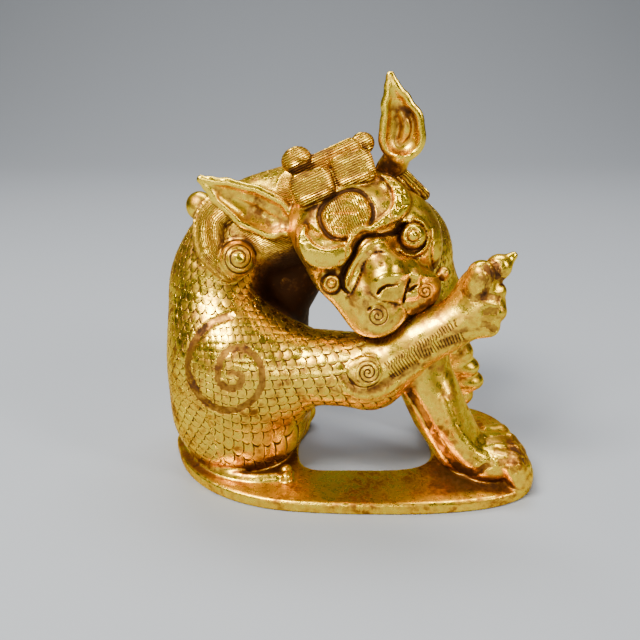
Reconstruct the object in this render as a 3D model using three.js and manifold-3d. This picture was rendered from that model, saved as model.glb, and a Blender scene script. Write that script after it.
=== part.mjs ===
// Qilin figurine: a seated, scaled beast that turns its head to lick a raised hind paw.
// It is one bronze casting on a thin plate. Millimetres, +Z up, +X to the viewer's right,
// +Y away from the viewer. The origin is at the middle of the underside.
//
// The body is modelled the way a wax is: rounded masses and limbs, each a distance
// function, are pressed together with soft seams, then grooves are cut in. The surface
// is walked out on a fine lattice and thinned to flat facets, more of them where it bends.
import * as THREE from "three";
import { edgeTable, triTable } from "three/addons/objects/MarchingCubes.js";
import { mergeVertices } from "three/addons/utils/BufferGeometryUtils.js";
import Module from "manifold-3d";

// Driving dimensions

const PLATE_THICKNESS = 3.4;
const FOOT_DEPTH = 1.2; // how far the feet and rump are sunk into the plate
const LATTICE = 1.15; // spacing at which the wax surface is walked
const FACETS = 8600; // triangles of the figure after thinning

const HAUNCH_RADIUS = 16.5;
const TORSO_RADIUS = 12.6;
const THIGH_RADIUS = 9.6;
const SHANK_RADIUS = 5.9;
const FORELEG_RADIUS = 7.2;
const TOE_RADIUS = 3.7;
const SKULL_WIDTH = 30;
const EAR_WALL = 1.8;
const EAR_LIP = 0.7; // how far the ear's mouth stands in front of its middle
const EAR_FLATNESS = 1.35; // half width of the bowl over its half depth
const CURL_GROOVE = 1.2; // half width of the engraved haunch curl

const HEAD_ROLL = 30; // degrees, the viewer's right side of the head is the higher one
const HEAD_YAW = 16; // turned to the viewer's right
const HEAD_PITCH = 20; // chin tucked towards the raised paw
const VIEW_TILT = 22.8; // the head is posed against a sight line that looks down by this
const EYES_MIDDLE = [2.8, -12, 62.8];
const ROLL_TURN = 17; // slope of the two combed rolls over the forehead, degrees

// Small vector helpers on plain arrays

const rad = THREE.MathUtils.degToRad;

const plus = (a, b) => [a[0] + b[0], a[1] + b[1], a[2] + b[2]];
const minus = (a, b) => [a[0] - b[0], a[1] - b[1], a[2] - b[2]];
const times = (a, s) => [a[0] * s, a[1] * s, a[2] * s];
const dot = (a, b) => a[0] * b[0] + a[1] * b[1] + a[2] * b[2];
const cross = (a, b) => [
  a[1] * b[2] - a[2] * b[1],
  a[2] * b[0] - a[0] * b[2],
  a[0] * b[1] - a[1] * b[0],
];
const unit = (a) => times(a, 1 / Math.hypot(...a));
const turnedBy = (a, b, degrees) => [
  plus(times(a, Math.cos(rad(degrees))), times(b, Math.sin(rad(degrees)))),
  minus(times(b, Math.cos(rad(degrees))), times(a, Math.sin(rad(degrees)))),
];
const blendOf = (a, b, share) => plus(times(a, 1 - share), times(b, share));

const WORLD_AXES = [
  [1, 0, 0],
  [0, 1, 0],
  [0, 0, 1],
];

// Distance functions. Each form knows a ball that holds it, so far forms are skipped.

function ellipsoid(centre, radii, axes = WORLD_AXES) {
  const reach = Math.max(...radii);
  const distance = (p) => {
    const d = minus(p, centre);
    const q = axes.map((axis, i) => dot(d, axis) / radii[i]);
    const slope = axes.map((axis, i) => q[i] / radii[i]);
    const k0 = Math.hypot(...q);
    const k1 = Math.hypot(...slope);
    return k1 < 1e-9 ? -Math.min(...radii) : (k0 * (k0 - 1)) / k1;
  };
  return { centre, reach, distance };
}

// A limb is a chain of cones with ball ends, its radius running from joint to joint.
function limb(points, radii) {
  const centre = times(points.reduce(plus), 1 / points.length);
  const reach = Math.max(...points.map((p, i) => Math.hypot(...minus(p, centre)) + radii[i]));
  const bones = points.slice(1).map((b, i) => {
    const a = points[i];
    const along = minus(b, a);
    return { a, along, squared: dot(along, along), from: radii[i], to: radii[i + 1] };
  });
  const distance = (p) => {
    let best = Infinity;
    for (const bone of bones) {
      const d = minus(p, bone.a);
      const t = Math.min(1, Math.max(0, dot(d, bone.along) / bone.squared));
      const gap = Math.hypot(...minus(d, times(bone.along, t)));
      best = Math.min(best, gap - (bone.from + (bone.to - bone.from) * t));
    }
    return best;
  };
  return { centre, reach, distance };
}

// A limb whose joints lie on a smooth curve through the given points.
function curvedLimb(points, radii, steps = 4) {
  const curve = new THREE.CatmullRomCurve3(points.map((p) => new THREE.Vector3(...p)));
  const count = (points.length - 1) * steps;
  const path = [];
  const widths = [];
  for (let i = 0; i <= count; i++) {
    const t = i / count;
    const span = Math.min(points.length - 2, Math.floor(t * (points.length - 1)));
    const share = t * (points.length - 1) - span;
    path.push(curve.getPoint(t).toArray());
    widths.push(radii[span] * (1 - share) + radii[span + 1] * share);
  }
  return limb(path, widths);
}

// A block with rounded edges on the given axes, turned in the plane of the first two.
function block(centre, halfSizes, rounding, axes, degrees = 0) {
  const sides = [...turnedBy(axes[0], axes[1], degrees), axes[2]];
  const distance = (p) => {
    const d = minus(p, centre);
    const q = sides.map((side, i) => Math.abs(dot(d, side)) - halfSizes[i] + rounding);
    const outside = Math.hypot(...q.map((value) => Math.max(value, 0)));
    return outside + Math.min(Math.max(...q), 0) - rounding;
  };
  return { centre, reach: Math.hypot(...halfSizes), distance };
}

// The sight line's axes are right, up and towards the viewer. The head's own axes are
// right, up and forward, turned from them.
const SIGHT_UP = [0, Math.sin(rad(VIEW_TILT)), Math.cos(rad(VIEW_TILT))];
const SIGHT_AXES = [WORLD_AXES[0], SIGHT_UP, cross(WORLD_AXES[0], SIGHT_UP)];
function headAxes() {
  let [x, y] = turnedBy(SIGHT_AXES[0], SIGHT_AXES[1], HEAD_ROLL);
  let z = SIGHT_AXES[2];
  [z, x] = turnedBy(z, x, HEAD_YAW);
  [y, z] = turnedBy(y, z, HEAD_PITCH);
  return [x, y, z];
}
const HEAD_AXES = headAxes();
const fromEyes = (axes, place) =>
  place.reduce((p, value, i) => plus(p, times(axes[i], value)), EYES_MIDDLE);
const onHead = (...place) => fromEyes(HEAD_AXES, place);
const inSight = (...place) => fromEyes(SIGHT_AXES, place);

// The wax: forms are added or cut one after another, each with its own seam softness

const wax = [];
const add = (form, seam) => wax.push({ ...form, seam, cut: false });
const cut = (form, seam) => wax.push({ ...form, seam, cut: true });

function waxDistance(p) {
  let d = 50;
  for (const { centre, reach, distance, seam, cut: isCut } of wax) {
    const near = Math.hypot(p[0] - centre[0], p[1] - centre[1], p[2] - centre[2]) - reach;
    if (isCut ? near > -d + seam : near > d + seam) continue;
    const other = isCut ? -distance(p) : distance(p);
    const h = Math.max(seam - Math.abs(d - other), 0) / seam;
    const soft = (h * h * seam) / 4;
    d = isCut ? Math.max(d, other) + soft : Math.min(d, other) - soft;
  }
  return d;
}

function torso() {
  const r = TORSO_RADIUS;
  // the near flank rises from the rump, bends over at the mane and comes down at the shoulder
  const spine = [
    [-31, 1, 17],
    [-33, 2, 31],
    [-36.2, 2, 44],
    [-35.4, 3, 55],
    [-28, 6, 65],
    [-14, 9, 70],
    [0, 11, 67],
    [12, 12, 57.5],
    [16.5, 11, 46],
  ];
  add(curvedLimb(spine, [r + 4, r + 2.4, r + 0.4, r - 0.4, r - 1, r - 1, r - 0.4, r + 0.4, r - 3]), 4);
  // the belly leans to the far side, under the arch
  const belly = [
    [-27, 8, 28],
    [-21, 11, 45],
    [-15, 12, 57],
    [-3, 13, 65],
    [12, 13, 59],
  ];
  add(limb(belly, [13, 9.2, 9.6, 10.5, 12.4]), 5);
}

function hindquarters() {
  const r = HAUNCH_RADIUS;
  add(ellipsoid([-31, -2, 19], [18.2, 14.6, 20]), 7);
  add(ellipsoid([-32, -6, 34], [r - 0.4, 14.6, r + 1]), 7);
  add(ellipsoid([-30, 12, 28], [r - 0.5, 12, r]), 6);
  add(limb([[-28, -9, 28], [-19, -9, 28]], [11, 9.5]), 5);
  // far leg, folded under with its foot on the plate
  add(limb([[-28, 15, 24], [-20, 17, 14]], [9, 7]), 4);
  add(limb([[-22, 18, 6], [-15, 17, 5]], [5, 4.2]), 3);
  // near leg, lifted: thigh, knee and shank
  const t = THIGH_RADIUS;
  add(limb([[-28, -7, 34.6], [-12, -11.5, 34.6], [0, -13, 34.4]], [14, t, t - 0.2]), 4);
  add(ellipsoid([4, -14, 34.2], [8.4, 7.6, 9.6]), 3);
  const s = SHANK_RADIUS;
  const shank = [
    [6, -14.5, 36.5],
    [14, -16, 43.6],
    [22, -17, 48.6],
    [27.6, -17, 53],
  ];
  add(limb(shank, [7.4, s + 0.7, s, s + 0.4]), 3);
  add(ellipsoid([2.4, -20.2, 37.4], [4.6, 1.8, 4.6]), 0.6);
  haunchCurl();
}

// The curl comes down the flank's edge, runs round under a disc and winds into its middle.
// Its stations are degrees and radius about the disc's middle, as the viewer sees them.
function haunchCurl() {
  const middle = [-30.6, 36.2];
  const stations = [
    [92, 13.8],
    [125, 12.2],
    [165, 10.2],
    [210, 8.4],
    [256, 7.8],
    [300, 7.1],
    [366, 6.9],
    [433, 6.9],
    [475, 5.1],
    [510, 3.6],
    [586, 2.8],
  ];
  const path = stations.map(([degrees, radius]) => {
    const x = middle[0] + radius * Math.cos(rad(degrees));
    return onFront(x, middle[1] + radius * Math.sin(rad(degrees)));
  });
  cut(curvedLimb(path, path.map(() => CURL_GROOVE), 3), 0.8);
}

// The place where the surface made so far is met, coming from the front.
function onFront(x, z) {
  const near = 0.05;
  let y = -30;
  let gap = waxDistance([x, y, z]);
  while (gap > near) {
    y += 0.7 * gap;
    gap = waxDistance([x, y, z]);
  }
  return [x, y, z];
}

function raisedPaw() {
  add(ellipsoid([27.6, -16.5, 54.6], [5.6, 6, 8]), 2);
  const toes = [
    [[26.2, -19.6, 57.6], [27, -20, 62], 3.3, 3.3],
    [[28.6, -17, 59.4], [31.6, -17, 62.8], 3, 3],
    [[31.8, -16.5, 62.5], [34.8, -16.5, 65.3], 2.6, 1],
    [[28.4, -18, 56], [31.2, -18.6, 57.4], 2.8, 2.3],
    [[28.4, -19, 52.2], [31, -20, 53], 3, 2.7],
    [[27, -19, 48.8], [29.8, -19.6, 49.2], 3, 2.8],
  ];
  for (const [from, to, start, end] of toes) add(limb([from, to], [start, end]), 0.4);
}

function forelegs() {
  const r = FORELEG_RADIUS;
  const near = [
    [13, -2, 44],
    [17.4, -6, 30],
    [22, -8.5, 20],
    [27.5, -10, 10.5],
  ];
  const far = [
    [20, 12, 44],
    [26.4, 14, 28],
    [27, 15, 13],
  ];
  add(limb(near, [9, r + 0.5, r + 0.2, r - 0.4]), 4);
  add(limb(far, [10, r - 0.2, r]), 5);
  // a soft ridge runs down the near leg and turns out to the toes
  add(curvedLimb([[22, -11, 27], [25.5, -14.5, 16], [31, -16, 9.6], [38, -16, 9]], [3, 3.2, 3, 2.4]), 1.4);
  paw([36, -11, 7.6], [10, 8.4, 6], 1);
  paw([26.4, 15, 7.4], [7, 7, 5.6], 0.86);
  // flame-like tufts stand out one below the other behind the far leg
  add(ellipsoid([30.8, 12, 27.6], [3.8, 4, 2.9]), 0.8);
  add(ellipsoid([32.2, 12, 23], [4.6, 4.2, 2.9]), 0.8);
  add(ellipsoid([33.4, 12.6, 18], [5.2, 4.2, 3.2]), 0.8);
  add(ellipsoid([31.6, 13, 13], [4.4, 3.8, 3.2]), 0.8);
}

function paw(middle, radii, scale) {
  add(ellipsoid(middle, radii), 2.5);
  for (const across of [-1.5, -0.5, 0.5, 1.5]) {
    const side = across * 4.6 * scale;
    const reachOut = radii[0] - 2 - Math.abs(across) * 1.1;
    const root = plus(middle, [reachOut - 6, side * 0.8, 3]);
    const knuckle = plus(middle, [reachOut - 2.4, side, 2.2]);
    const tip = plus(middle, [reachOut, side, -2.4]);
    const size = TOE_RADIUS * scale;
    add(limb([root, knuckle, tip], [size * 0.7, size * 0.85, size * 0.9]), 0.3);
  }
}

function skull() {
  const half = SKULL_WIDTH / 2;
  add(ellipsoid(onHead(0.4, 9, -6), [half - 0.6, 14, 12], HEAD_AXES), 3);
  add(ellipsoid(onHead(12.6, -0.6, -7), [9.8, 12.6, 10.6], HEAD_AXES), 3);
  add(ellipsoid(onHead(-7.4, 0.6, -4), [6.4, 7.4, 8], HEAD_AXES), 3);
  // muzzle: a blocky snout from the bridge to the two lip pads, with the jaw behind it
  add(ellipsoid(onHead(0.6, -10, -4), [11, 8, 8], HEAD_AXES), 3);
  add(block(onHead(-0.8, -8, 1.6), [9.4, 7, 6.4], 4, HEAD_AXES), 3);
  add(limb([onHead(-1.4, 3, 4.4), onHead(-0.8, -2, 6)], [3.6, 5]), 3);
  add(limb([onHead(-10.4, -1, -1), onHead(-8.8, -7.6, 0), onHead(-8, -11.4, 1.4)], [3, 3.4, 3.6]), 3);
  add(ellipsoid(onHead(-4.6, -11.4, 4), [5.6, 5, 4.6], HEAD_AXES), 2.4);
  add(ellipsoid(onHead(6.4, -11.6, 3), [6.4, 5, 4.6], HEAD_AXES), 2.4);
  add(ellipsoid(onHead(15.2, -11.4, 2.2), [1.9, 1.9, 1.9], HEAD_AXES), 0.8);
  // the nose's flat front, the line under it, and the parting down to the lip
  add(block(onHead(-0.4, -5.6, 6), [6, 3.4, 4], 1.6, HEAD_AXES, -22), 1.6);
  const underNose = [onHead(-6.3, -5.7, 8.5), onHead(-3.8, -7.7, 9.2), onHead(-1.7, -9.9, 8.8)];
  cut(limb([...underNose, onHead(0, -14, 8)], [0.7, 0.8, 0.8, 0.7]), 0.5);
  cut(limb([onHead(3, -5.4, 9.6), onHead(0.4, -8.7, 9.6)], [0.7, 0.8]), 0.4);
  // sockets under the brows
  cut(ellipsoid(onHead(6.4, 5.4, 7.4), [5.4, 2.4, 3], HEAD_AXES), 1.2);
  cut(ellipsoid(onHead(-9.6, 3.2, 5.8), [4.4, 1.8, 3], HEAD_AXES), 1);
}

function brows() {
  const right = [
    [9.4, 15.5, 2.4],
    [10.6, 12.6, 3.4],
    [9.6, 10.2, 4.4],
    [6.8, 8.8, 5.2],
    [2, 8.5, 5.7],
    [-1.8, 9.2, 5.8],
    [-5.2, 7.8, 5.2],
  ];
  const left = [
    [-12.8, 14.6, 1],
    [-13.4, 12, 1.8],
    [-12.6, 9, 2.8],
    [-10.4, 7.6, 4],
    [-8, 7.4, 4.6],
    [-5.8, 7.4, 5],
  ];
  const onHeadAll = (points) => points.map((p) => onHead(...p));
  add(curvedLimb(onHeadAll(right), [1.6, 2.3, 2.6, 2.3, 2, 1.8, 1.6], 3), 0.9);
  add(curvedLimb(onHeadAll(left), [1.6, 2.4, 3.1, 3.1, 2.6, 2], 3), 0.9);
}

function eyes() {
  for (const [x, y, z, size] of [[11.2, 1.2, 2.4, 3.9], [-11.6, 0.6, 1.4, 2.8]]) {
    add(ellipsoid(onHead(x, y, z), [size, size, size], HEAD_AXES), 0.6);
  }
}

function hair() {
  add(ellipsoid(onHead(-2.6, 14.6, 4), [6.4, 5.6, 3.6], HEAD_AXES), 0.5);
  // two combed rolls face the viewer over the forehead, with a cushion of hair behind them
  add(block(inSight(-14, 15.7, 7), [5, 3.7, 3.9], 2.4, SIGHT_AXES, ROLL_TURN), 0.5);
  add(block(inSight(-5, 19.9, 6), [5.1, 3.8, 3.9], 2.4, SIGHT_AXES, ROLL_TURN), 0.5);
  add(block(inSight(-10, 20.6, 2.4), [8.6, 4.6, 4], 2, SIGHT_AXES, 25), 1);
  add(ellipsoid(onHead(-5.8, 28, -5), [3.2, 3.2, 3.2], HEAD_AXES), 1);
  add(ellipsoid(onHead(11, 24.6, -5), [2.8, 2.8, 2.8], HEAD_AXES), 1);
}

// An ear is a leaf-shaped bowl that opens towards the viewer. Its stations are rows of
// x, z and half width, from the root to the tip, in the upright plane at depth.
function leaf(stations, depth, shrink) {
  const points = stations.map(([x, z]) => [x, depth * EAR_FLATNESS, z]);
  const chain = limb(points, stations.map(([, , half]) => Math.max(half - shrink, 0.2)));
  const centre = [chain.centre[0], depth, chain.centre[2]];
  const distance = ([x, y, z]) => 0.85 * chain.distance([x, y * EAR_FLATNESS, z]);
  return { centre, reach: chain.reach, distance };
}

function ear(stem, stations, depth) {
  const bowl = leaf(stations, depth, 0);
  const mouth = depth - EAR_LIP;
  const distance = (p) => softGreater(bowl.distance(p), mouth - p[1], 1);
  add(limb([stem, [stations[0][0], depth + 1, stations[0][1]]], [3.8, 3]), 1.5);
  add({ ...bowl, distance }, 0.8);
  cut(leaf(stations, mouth, EAR_WALL), 0.5);
}

function softGreater(a, b, seam) {
  const h = Math.max(seam - Math.abs(a - b), 0) / seam;
  return Math.max(a, b) + (h * h * seam) / 4;
}

function ears() {
  const right = [
    [9.4, 86, 2.6],
    [9.8, 89.6, 5.7],
    [9.6, 92.8, 5.3],
    [8.2, 97, 3.8],
    [7, 101, 2],
    [6.5, 103.3, 1.1],
  ];
  const left = [
    [-17.6, 70.6, 3.8],
    [-21, 71.8, 5.5],
    [-26, 74.2, 5.6],
    [-31.6, 77.3, 4],
    [-35.2, 79.6, 2.1],
    [-37.2, 80.8, 1.1],
  ];
  ear([8, 4, 81], right, -2);
  ear([-14, -4, 71], left, -7);
  // a flame-like ridge inside each bowl
  add(curvedLimb([[9.6, 0.6, 88], [10.8, -0.6, 92], [9, -0.6, 96.4]], [1.1, 1.3, 0.5]), 0.8);
  add(curvedLimb([[-20, -4.6, 72.6], [-25, -4.4, 75.4], [-31, -5.4, 77.6]], [1.2, 1.3, 0.5]), 0.8);
}

function mane() {
  add(ellipsoid([-23, 4, 67.5], [14, 10.5, 10.4]), 4);
  add(ellipsoid([-6, 3, 74.5], [15, 10, 9]), 4);
  // the combed lock that falls beside the ear and ends in a curl
  const lock = [
    [-31, -3, 75],
    [-36, -4, 70.6],
    [-36, -7, 64],
    [-31.5, -9, 59.4],
  ];
  add(curvedLimb(lock, [4, 4, 3.6, 3]), 1.2);
  add(limb([[-29.6, -8.4, 62], [-29.6, -9.6, 62.2]], [4.4, 4.2]), 0.8);
  cut(maneCurl([-29.6, -13.4, 62.4], 3, 1.4, 0.7), 0.3);
  add(ellipsoid([-40.5, 8, 71], [3.6, 3.6, 3.8]), 1.2);
  add(limb([[9, 3, 80], [16.6, 4, 74.8]], [3, 1.5]), 1);
}

function tail() {
  const z = PLATE_THICKNESS + 0.6;
  const path = [
    [-34, 19, z + 14],
    [-39.5, 21, z + 6],
    [-45.4, 16, z + 1.5],
    [-48, 6, z + 0.2],
    [-43.4, -5, z],
    [-36.4, -12.6, z],
    [-28, -15.8, z],
    [-21, -15.6, z],
  ];
  add(curvedLimb(path, [3.4, 3, 2.4, 1.8, 1.4, 1.3, 1.3, 1.2]), 1.4);
  add(ellipsoid([-18.6, -13.6, z + 0.6], [1.7, 1.7, 1.7]), 0.4);
  add(ellipsoid([-18.4, -16, z + 0.2], [1.5, 1.5, 1.5]), 0.4);
}

// A flat spiral in an upright plane, wound inwards, for the end of the combed lock.
function maneCurl(centre, radius, turns, groove) {
  const steps = 26;
  const start = 0.35;
  const inner = 0.14;
  const points = [];
  for (let i = 0; i <= steps; i++) {
    const share = i / steps;
    const angle = Math.PI * (start + 2 * turns * share);
    const size = radius * (1 - (1 - inner) * share);
    points.push(plus(centre, [-size * Math.cos(angle), 0, size * Math.sin(angle)]));
  }
  return limb(points, points.map(() => groove));
}

// Surface walk: the lattice cells that the surface crosses are given their triangles

const CORNERS = [
  [0, 0, 0],
  [1, 0, 0],
  [0, 1, 0],
  [1, 1, 0],
  [0, 0, 1],
  [1, 0, 1],
  [0, 1, 1],
  [1, 1, 1],
];
// the corner pairs of a cell's twelve edges, in the order that the triangle table counts them
const EDGES = [
  [0, 1],
  [1, 3],
  [2, 3],
  [0, 2],
  [4, 5],
  [5, 7],
  [6, 7],
  [4, 6],
  [0, 4],
  [1, 5],
  [3, 7],
  [2, 6],
];
const TABLE_CORNER_BITS = [1, 2, 8, 4, 16, 32, 128, 64];

function walkSurface(distanceAt, low, high, step) {
  const counts = low.map((value, i) => Math.ceil((high[i] - value) / step) + 1);
  const [nx, ny, nz] = counts;
  const values = new Float64Array(nx * ny * nz);
  const at = (i, j, k) => i + nx * (j + ny * k);
  for (let k = 0; k < nz; k++)
    for (let j = 0; j < ny; j++)
      for (let i = 0; i < nx; i++) {
        const value = distanceAt([low[0] + i * step, low[1] + j * step, low[2] + k * step]);
        values[at(i, j, k)] = Math.abs(value) < 1e-4 ? 1e-4 : value;
      }
  const points = [];
  const triangles = [];
  const known = new Map();
  const pointOn = (a, b) => {
    const first = at(...a);
    const second = at(...b);
    const key = Math.min(first, second) * 4 + a.findIndex((value, i) => value !== b[i]);
    if (!known.has(key)) {
      const share = values[first] / (values[first] - values[second]);
      const place = blendOf(a, b, share);
      known.set(key, points.length);
      points.push(place.map((value, i) => low[i] + value * step));
    }
    return known.get(key);
  };
  for (let k = 0; k < nz - 1; k++)
    for (let j = 0; j < ny - 1; j++)
      for (let i = 0; i < nx - 1; i++) {
        const corners = CORNERS.map(([x, y, z]) => [i + x, j + y, k + z]);
        let code = 0;
        corners.forEach((corner, n) => {
          if (values[at(...corner)] < 0) code |= TABLE_CORNER_BITS[n];
        });
        if (edgeTable[code] === 0) continue;
        for (let t = code * 16; triTable[t] !== -1; t += 3) {
          const ends = [2, 1, 0].map((n) => EDGES[triTable[t + n]]);
          triangles.push(ends.map(([a, b]) => pointOn(corners[a], corners[b])));
        }
      }
  return { points, triangles };
}

// Thinning: the edge whose loss moves the surface least is closed first, and an edge is
// kept where closing it would fold a face or pinch the surface

class Heap {
  items = [];
  push(item) {
    const a = this.items;
    let i = a.push(item) - 1;
    while (i > 0 && a[(i - 1) >> 1].cost > item.cost) {
      a[i] = a[(i - 1) >> 1];
      i = (i - 1) >> 1;
    }
    a[i] = item;
  }
  pop() {
    const a = this.items;
    const top = a[0];
    const last = a.pop();
    if (a.length === 0) return top;
    let i = 0;
    for (;;) {
      let child = 2 * i + 1;
      if (child >= a.length) break;
      if (child + 1 < a.length && a[child + 1].cost < a[child].cost) child++;
      if (a[child].cost >= last.cost) break;
      a[i] = a[child];
      i = child;
    }
    a[i] = last;
    return top;
  }
}

// A quadric holds the ten terms of the summed squared distance to a set of planes.
const planeQuadric = ([a, b, c], d, weight) =>
  [a * a, a * b, a * c, a * d, b * b, b * c, b * d, c * c, c * d, d * d].map((v) => v * weight);
const quadricCost = (q, [x, y, z]) =>
  q[0] * x * x + 2 * q[1] * x * y + 2 * q[2] * x * z + 2 * q[3] * x +
  q[4] * y * y + 2 * q[5] * y * z + 2 * q[6] * y +
  q[7] * z * z + 2 * q[8] * z + q[9];

function thin({ points, triangles }, target) {
  const faces = triangles.map((face) => [...face]);
  const alive = new Array(faces.length).fill(true);
  const around = points.map(() => new Set());
  const quadrics = points.map(() => new Array(10).fill(0));
  const stamp = new Int32Array(points.length);
  const normalOf = ([a, b, c], moved = -1, place = null) => {
    const [p, q, r] = [a, b, c].map((v) => (v === moved ? place : points[v]));
    return cross(minus(q, p), minus(r, p));
  };
  faces.forEach((face, f) => {
    const normal = normalOf(face);
    const size = Math.hypot(...normal);
    face.forEach((v) => around[v].add(f));
    if (size < 1e-12) return;
    const n = times(normal, 1 / size);
    const quadric = planeQuadric(n, -dot(n, points[face[0]]), size);
    for (const v of face) quadric.forEach((value, i) => (quadrics[v][i] += value));
  });
  const neighbours = (v) => {
    const found = new Set();
    for (const f of around[v]) faces[f].forEach((w) => found.add(w));
    found.delete(v);
    return found;
  };
  const heap = new Heap();
  const offer = (a, b) => {
    const quadric = quadrics[a].map((value, i) => value + quadrics[b][i]);
    const places = [points[a], points[b], blendOf(points[a], points[b], 0.5)];
    const best = optimum(quadric);
    if (best && Math.hypot(...minus(best, places[2])) < 2 * LATTICE) places.push(best);
    const costs = places.map((place) => quadricCost(quadric, place));
    const cost = Math.min(...costs);
    const length = Math.hypot(...minus(points[a], points[b]));
    const item = { cost: cost + 1e-5 * length, a, b, place: places[costs.indexOf(cost)] };
    heap.push({ ...item, stampA: stamp[a], stampB: stamp[b] });
  };
  points.forEach((_, a) => {
    for (const b of neighbours(a)) if (a < b) offer(a, b);
  });
  let count = faces.length;
  while (count > target && heap.items.length > 0) {
    const { a, b, place, stampA, stampB } = heap.pop();
    if (stamp[a] !== stampA || stamp[b] !== stampB) continue;
    const ring = neighbours(a);
    const shared = [...neighbours(b)].filter((v) => ring.has(v));
    if (shared.length !== 2) continue;
    const gone = [...around[a]].filter((f) => around[b].has(f));
    const folds = [a, b].some((v) =>
      [...around[v]].some((f) => {
        if (gone.includes(f)) return false;
        const before = normalOf(faces[f]);
        const after = normalOf(faces[f], v, place);
        return dot(before, after) < 0.3 * Math.hypot(...before) * Math.hypot(...after) + 1e-9;
      }),
    );
    if (folds) continue;
    for (const f of gone) {
      alive[f] = false;
      faces[f].forEach((v) => around[v].delete(f));
      count--;
    }
    for (const f of around[b]) {
      faces[f] = faces[f].map((v) => (v === b ? a : v));
      around[a].add(f);
    }
    around[b] = new Set();
    points[a] = place;
    quadrics[a] = quadrics[a].map((value, i) => value + quadrics[b][i]);
    stamp[a]++;
    stamp[b] = -1;
    for (const v of neighbours(a)) offer(Math.min(a, v), Math.max(a, v));
  }
  return { points, triangles: faces.filter((_, f) => alive[f]) };
}

// The place where a quadric is least, or null where it has no single one.
function optimum(q) {
  const matrix = new THREE.Matrix3().set(q[0], q[1], q[2], q[1], q[4], q[5], q[2], q[5], q[7]);
  const scale = q[0] + q[4] + q[7];
  if (Math.abs(matrix.determinant()) < 1e-4 * scale ** 3) return null;
  const right = new THREE.Vector3(-q[3], -q[6], -q[8]);
  return right.applyMatrix3(matrix.invert()).toArray();
}

// Solids

const wasm = await Module();
wasm.setup();

function solidFrom({ points, triangles }) {
  const used = new Map();
  for (const face of triangles) for (const v of face) if (!used.has(v)) used.set(v, used.size);
  const vertProperties = new Float32Array(used.size * 3);
  for (const [from, to] of used) vertProperties.set(points[from], to * 3);
  const triVerts = new Uint32Array(triangles.flat().map((v) => used.get(v)));
  return new wasm.Manifold(new wasm.Mesh({ numProp: 3, vertProperties, triVerts }));
}

// A crevice can close over between two forms. Only the outer skin, the largest, is kept.
function outerSkin(geometry) {
  const corners = geometry.index.array;
  const parent = Array.from({ length: geometry.attributes.position.count }, (_, i) => i);
  const rootOf = (v) => {
    while (parent[v] !== v) v = parent[v] = parent[parent[v]];
    return v;
  };
  for (let i = 0; i < corners.length; i += 3) {
    parent[rootOf(corners[i])] = rootOf(corners[i + 1]);
    parent[rootOf(corners[i + 1])] = rootOf(corners[i + 2]);
  }
  const sizes = new Map();
  for (const v of corners) sizes.set(rootOf(v), (sizes.get(rootOf(v)) ?? 0) + 1);
  const largest = [...sizes].reduce((a, b) => (b[1] > a[1] ? b : a))[0];
  geometry.setIndex([...corners].filter((v) => rootOf(v) === largest));
  return geometry;
}

function solidOf(geometry) {
  const bare = new THREE.BufferGeometry();
  bare.setAttribute("position", geometry.getAttribute("position"));
  if (geometry.index) bare.setIndex(geometry.index);
  const merged = mergeVertices(bare, 1e-3);
  const vertProperties = merged.attributes.position.array;
  const triVerts = new Uint32Array(merged.index.array);
  return new wasm.Manifold(new wasm.Mesh({ numProp: 3, vertProperties, triVerts }));
}

function geometryOf(solid) {
  const mesh = solid.getMesh();
  const geometry = new THREE.BufferGeometry();
  geometry.setAttribute("position", new THREE.BufferAttribute(mesh.vertProperties, 3));
  geometry.setIndex(new THREE.BufferAttribute(mesh.triVerts, 1));
  return geometry;
}

// The plate is a thick hook in plan: wide under the rump and under both forepaws, joined
// by a strip along the front, and open at the back.
function plateGeometry() {
  const outline = [
    [-51, 8],
    [-49.8, 0],
    [-45.4, -9.7],
    [-37.2, -18],
    [-24.8, -23.8],
    [-9.5, -26],
    [10.7, -26.6],
    [26, -25.6],
    [38, -22.8],
    [45.6, -17.6],
    [48.8, -8],
    [47.6, 6],
    [43.6, 17],
    [35, 23],
    [26, 20.5],
    [22.4, 11],
    [21.6, -4],
    [15, -10.4],
    [-1.4, -11.2],
    [-13.6, -9.6],
    [-15.6, 4],
    [-12.6, 16],
    [-20, 23.6],
    [-33, 25.6],
    [-45, 20],
  ];
  const curve = new THREE.CatmullRomCurve3(outline.map(([x, y]) => new THREE.Vector3(x, y, 0)), true);
  const shape = new THREE.Shape(curve.getPoints(72).slice(0, -1).map((p) => new THREE.Vector2(p.x, p.y)));
  const bevel = { bevelThickness: 0.6, bevelSize: 0.6, bevelOffset: -0.6, bevelSegments: 1 };
  const depth = PLATE_THICKNESS - 2 * bevel.bevelThickness;
  const geometry = new THREE.ExtrudeGeometry(shape, { depth, steps: 1, ...bevel });
  return geometry.translate(0, 0, bevel.bevelThickness);
}

torso();
hindquarters();
raisedPaw();
forelegs();
mane();
skull();
brows();
eyes();
hair();
ears();
tail();

const flatFoot = (p) => Math.max(waxDistance(p), PLATE_THICKNESS - FOOT_DEPTH - p[2]);
const walked = walkSurface(flatFoot, [-56, -32, 0.5], [56, 34, 112], LATTICE);
const figure = solidFrom(thin(walked, FACETS)).add(solidOf(plateGeometry()));
const geometry = outerSkin(geometryOf(figure));
geometry.computeBoundingBox();
const middle = geometry.boundingBox.getCenter(new THREE.Vector3());
geometry.translate(-middle.x, -middle.y, -geometry.boundingBox.min.z);

const giltBronze = new THREE.MeshStandardMaterial({ color: 0xc8962e, roughness: 0.32, metalness: 1 });
const figurine = new THREE.Group();
const mesh = new THREE.Mesh(geometry, giltBronze);
mesh.name = "figure";
figurine.add(mesh);

export default figurine;
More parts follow.
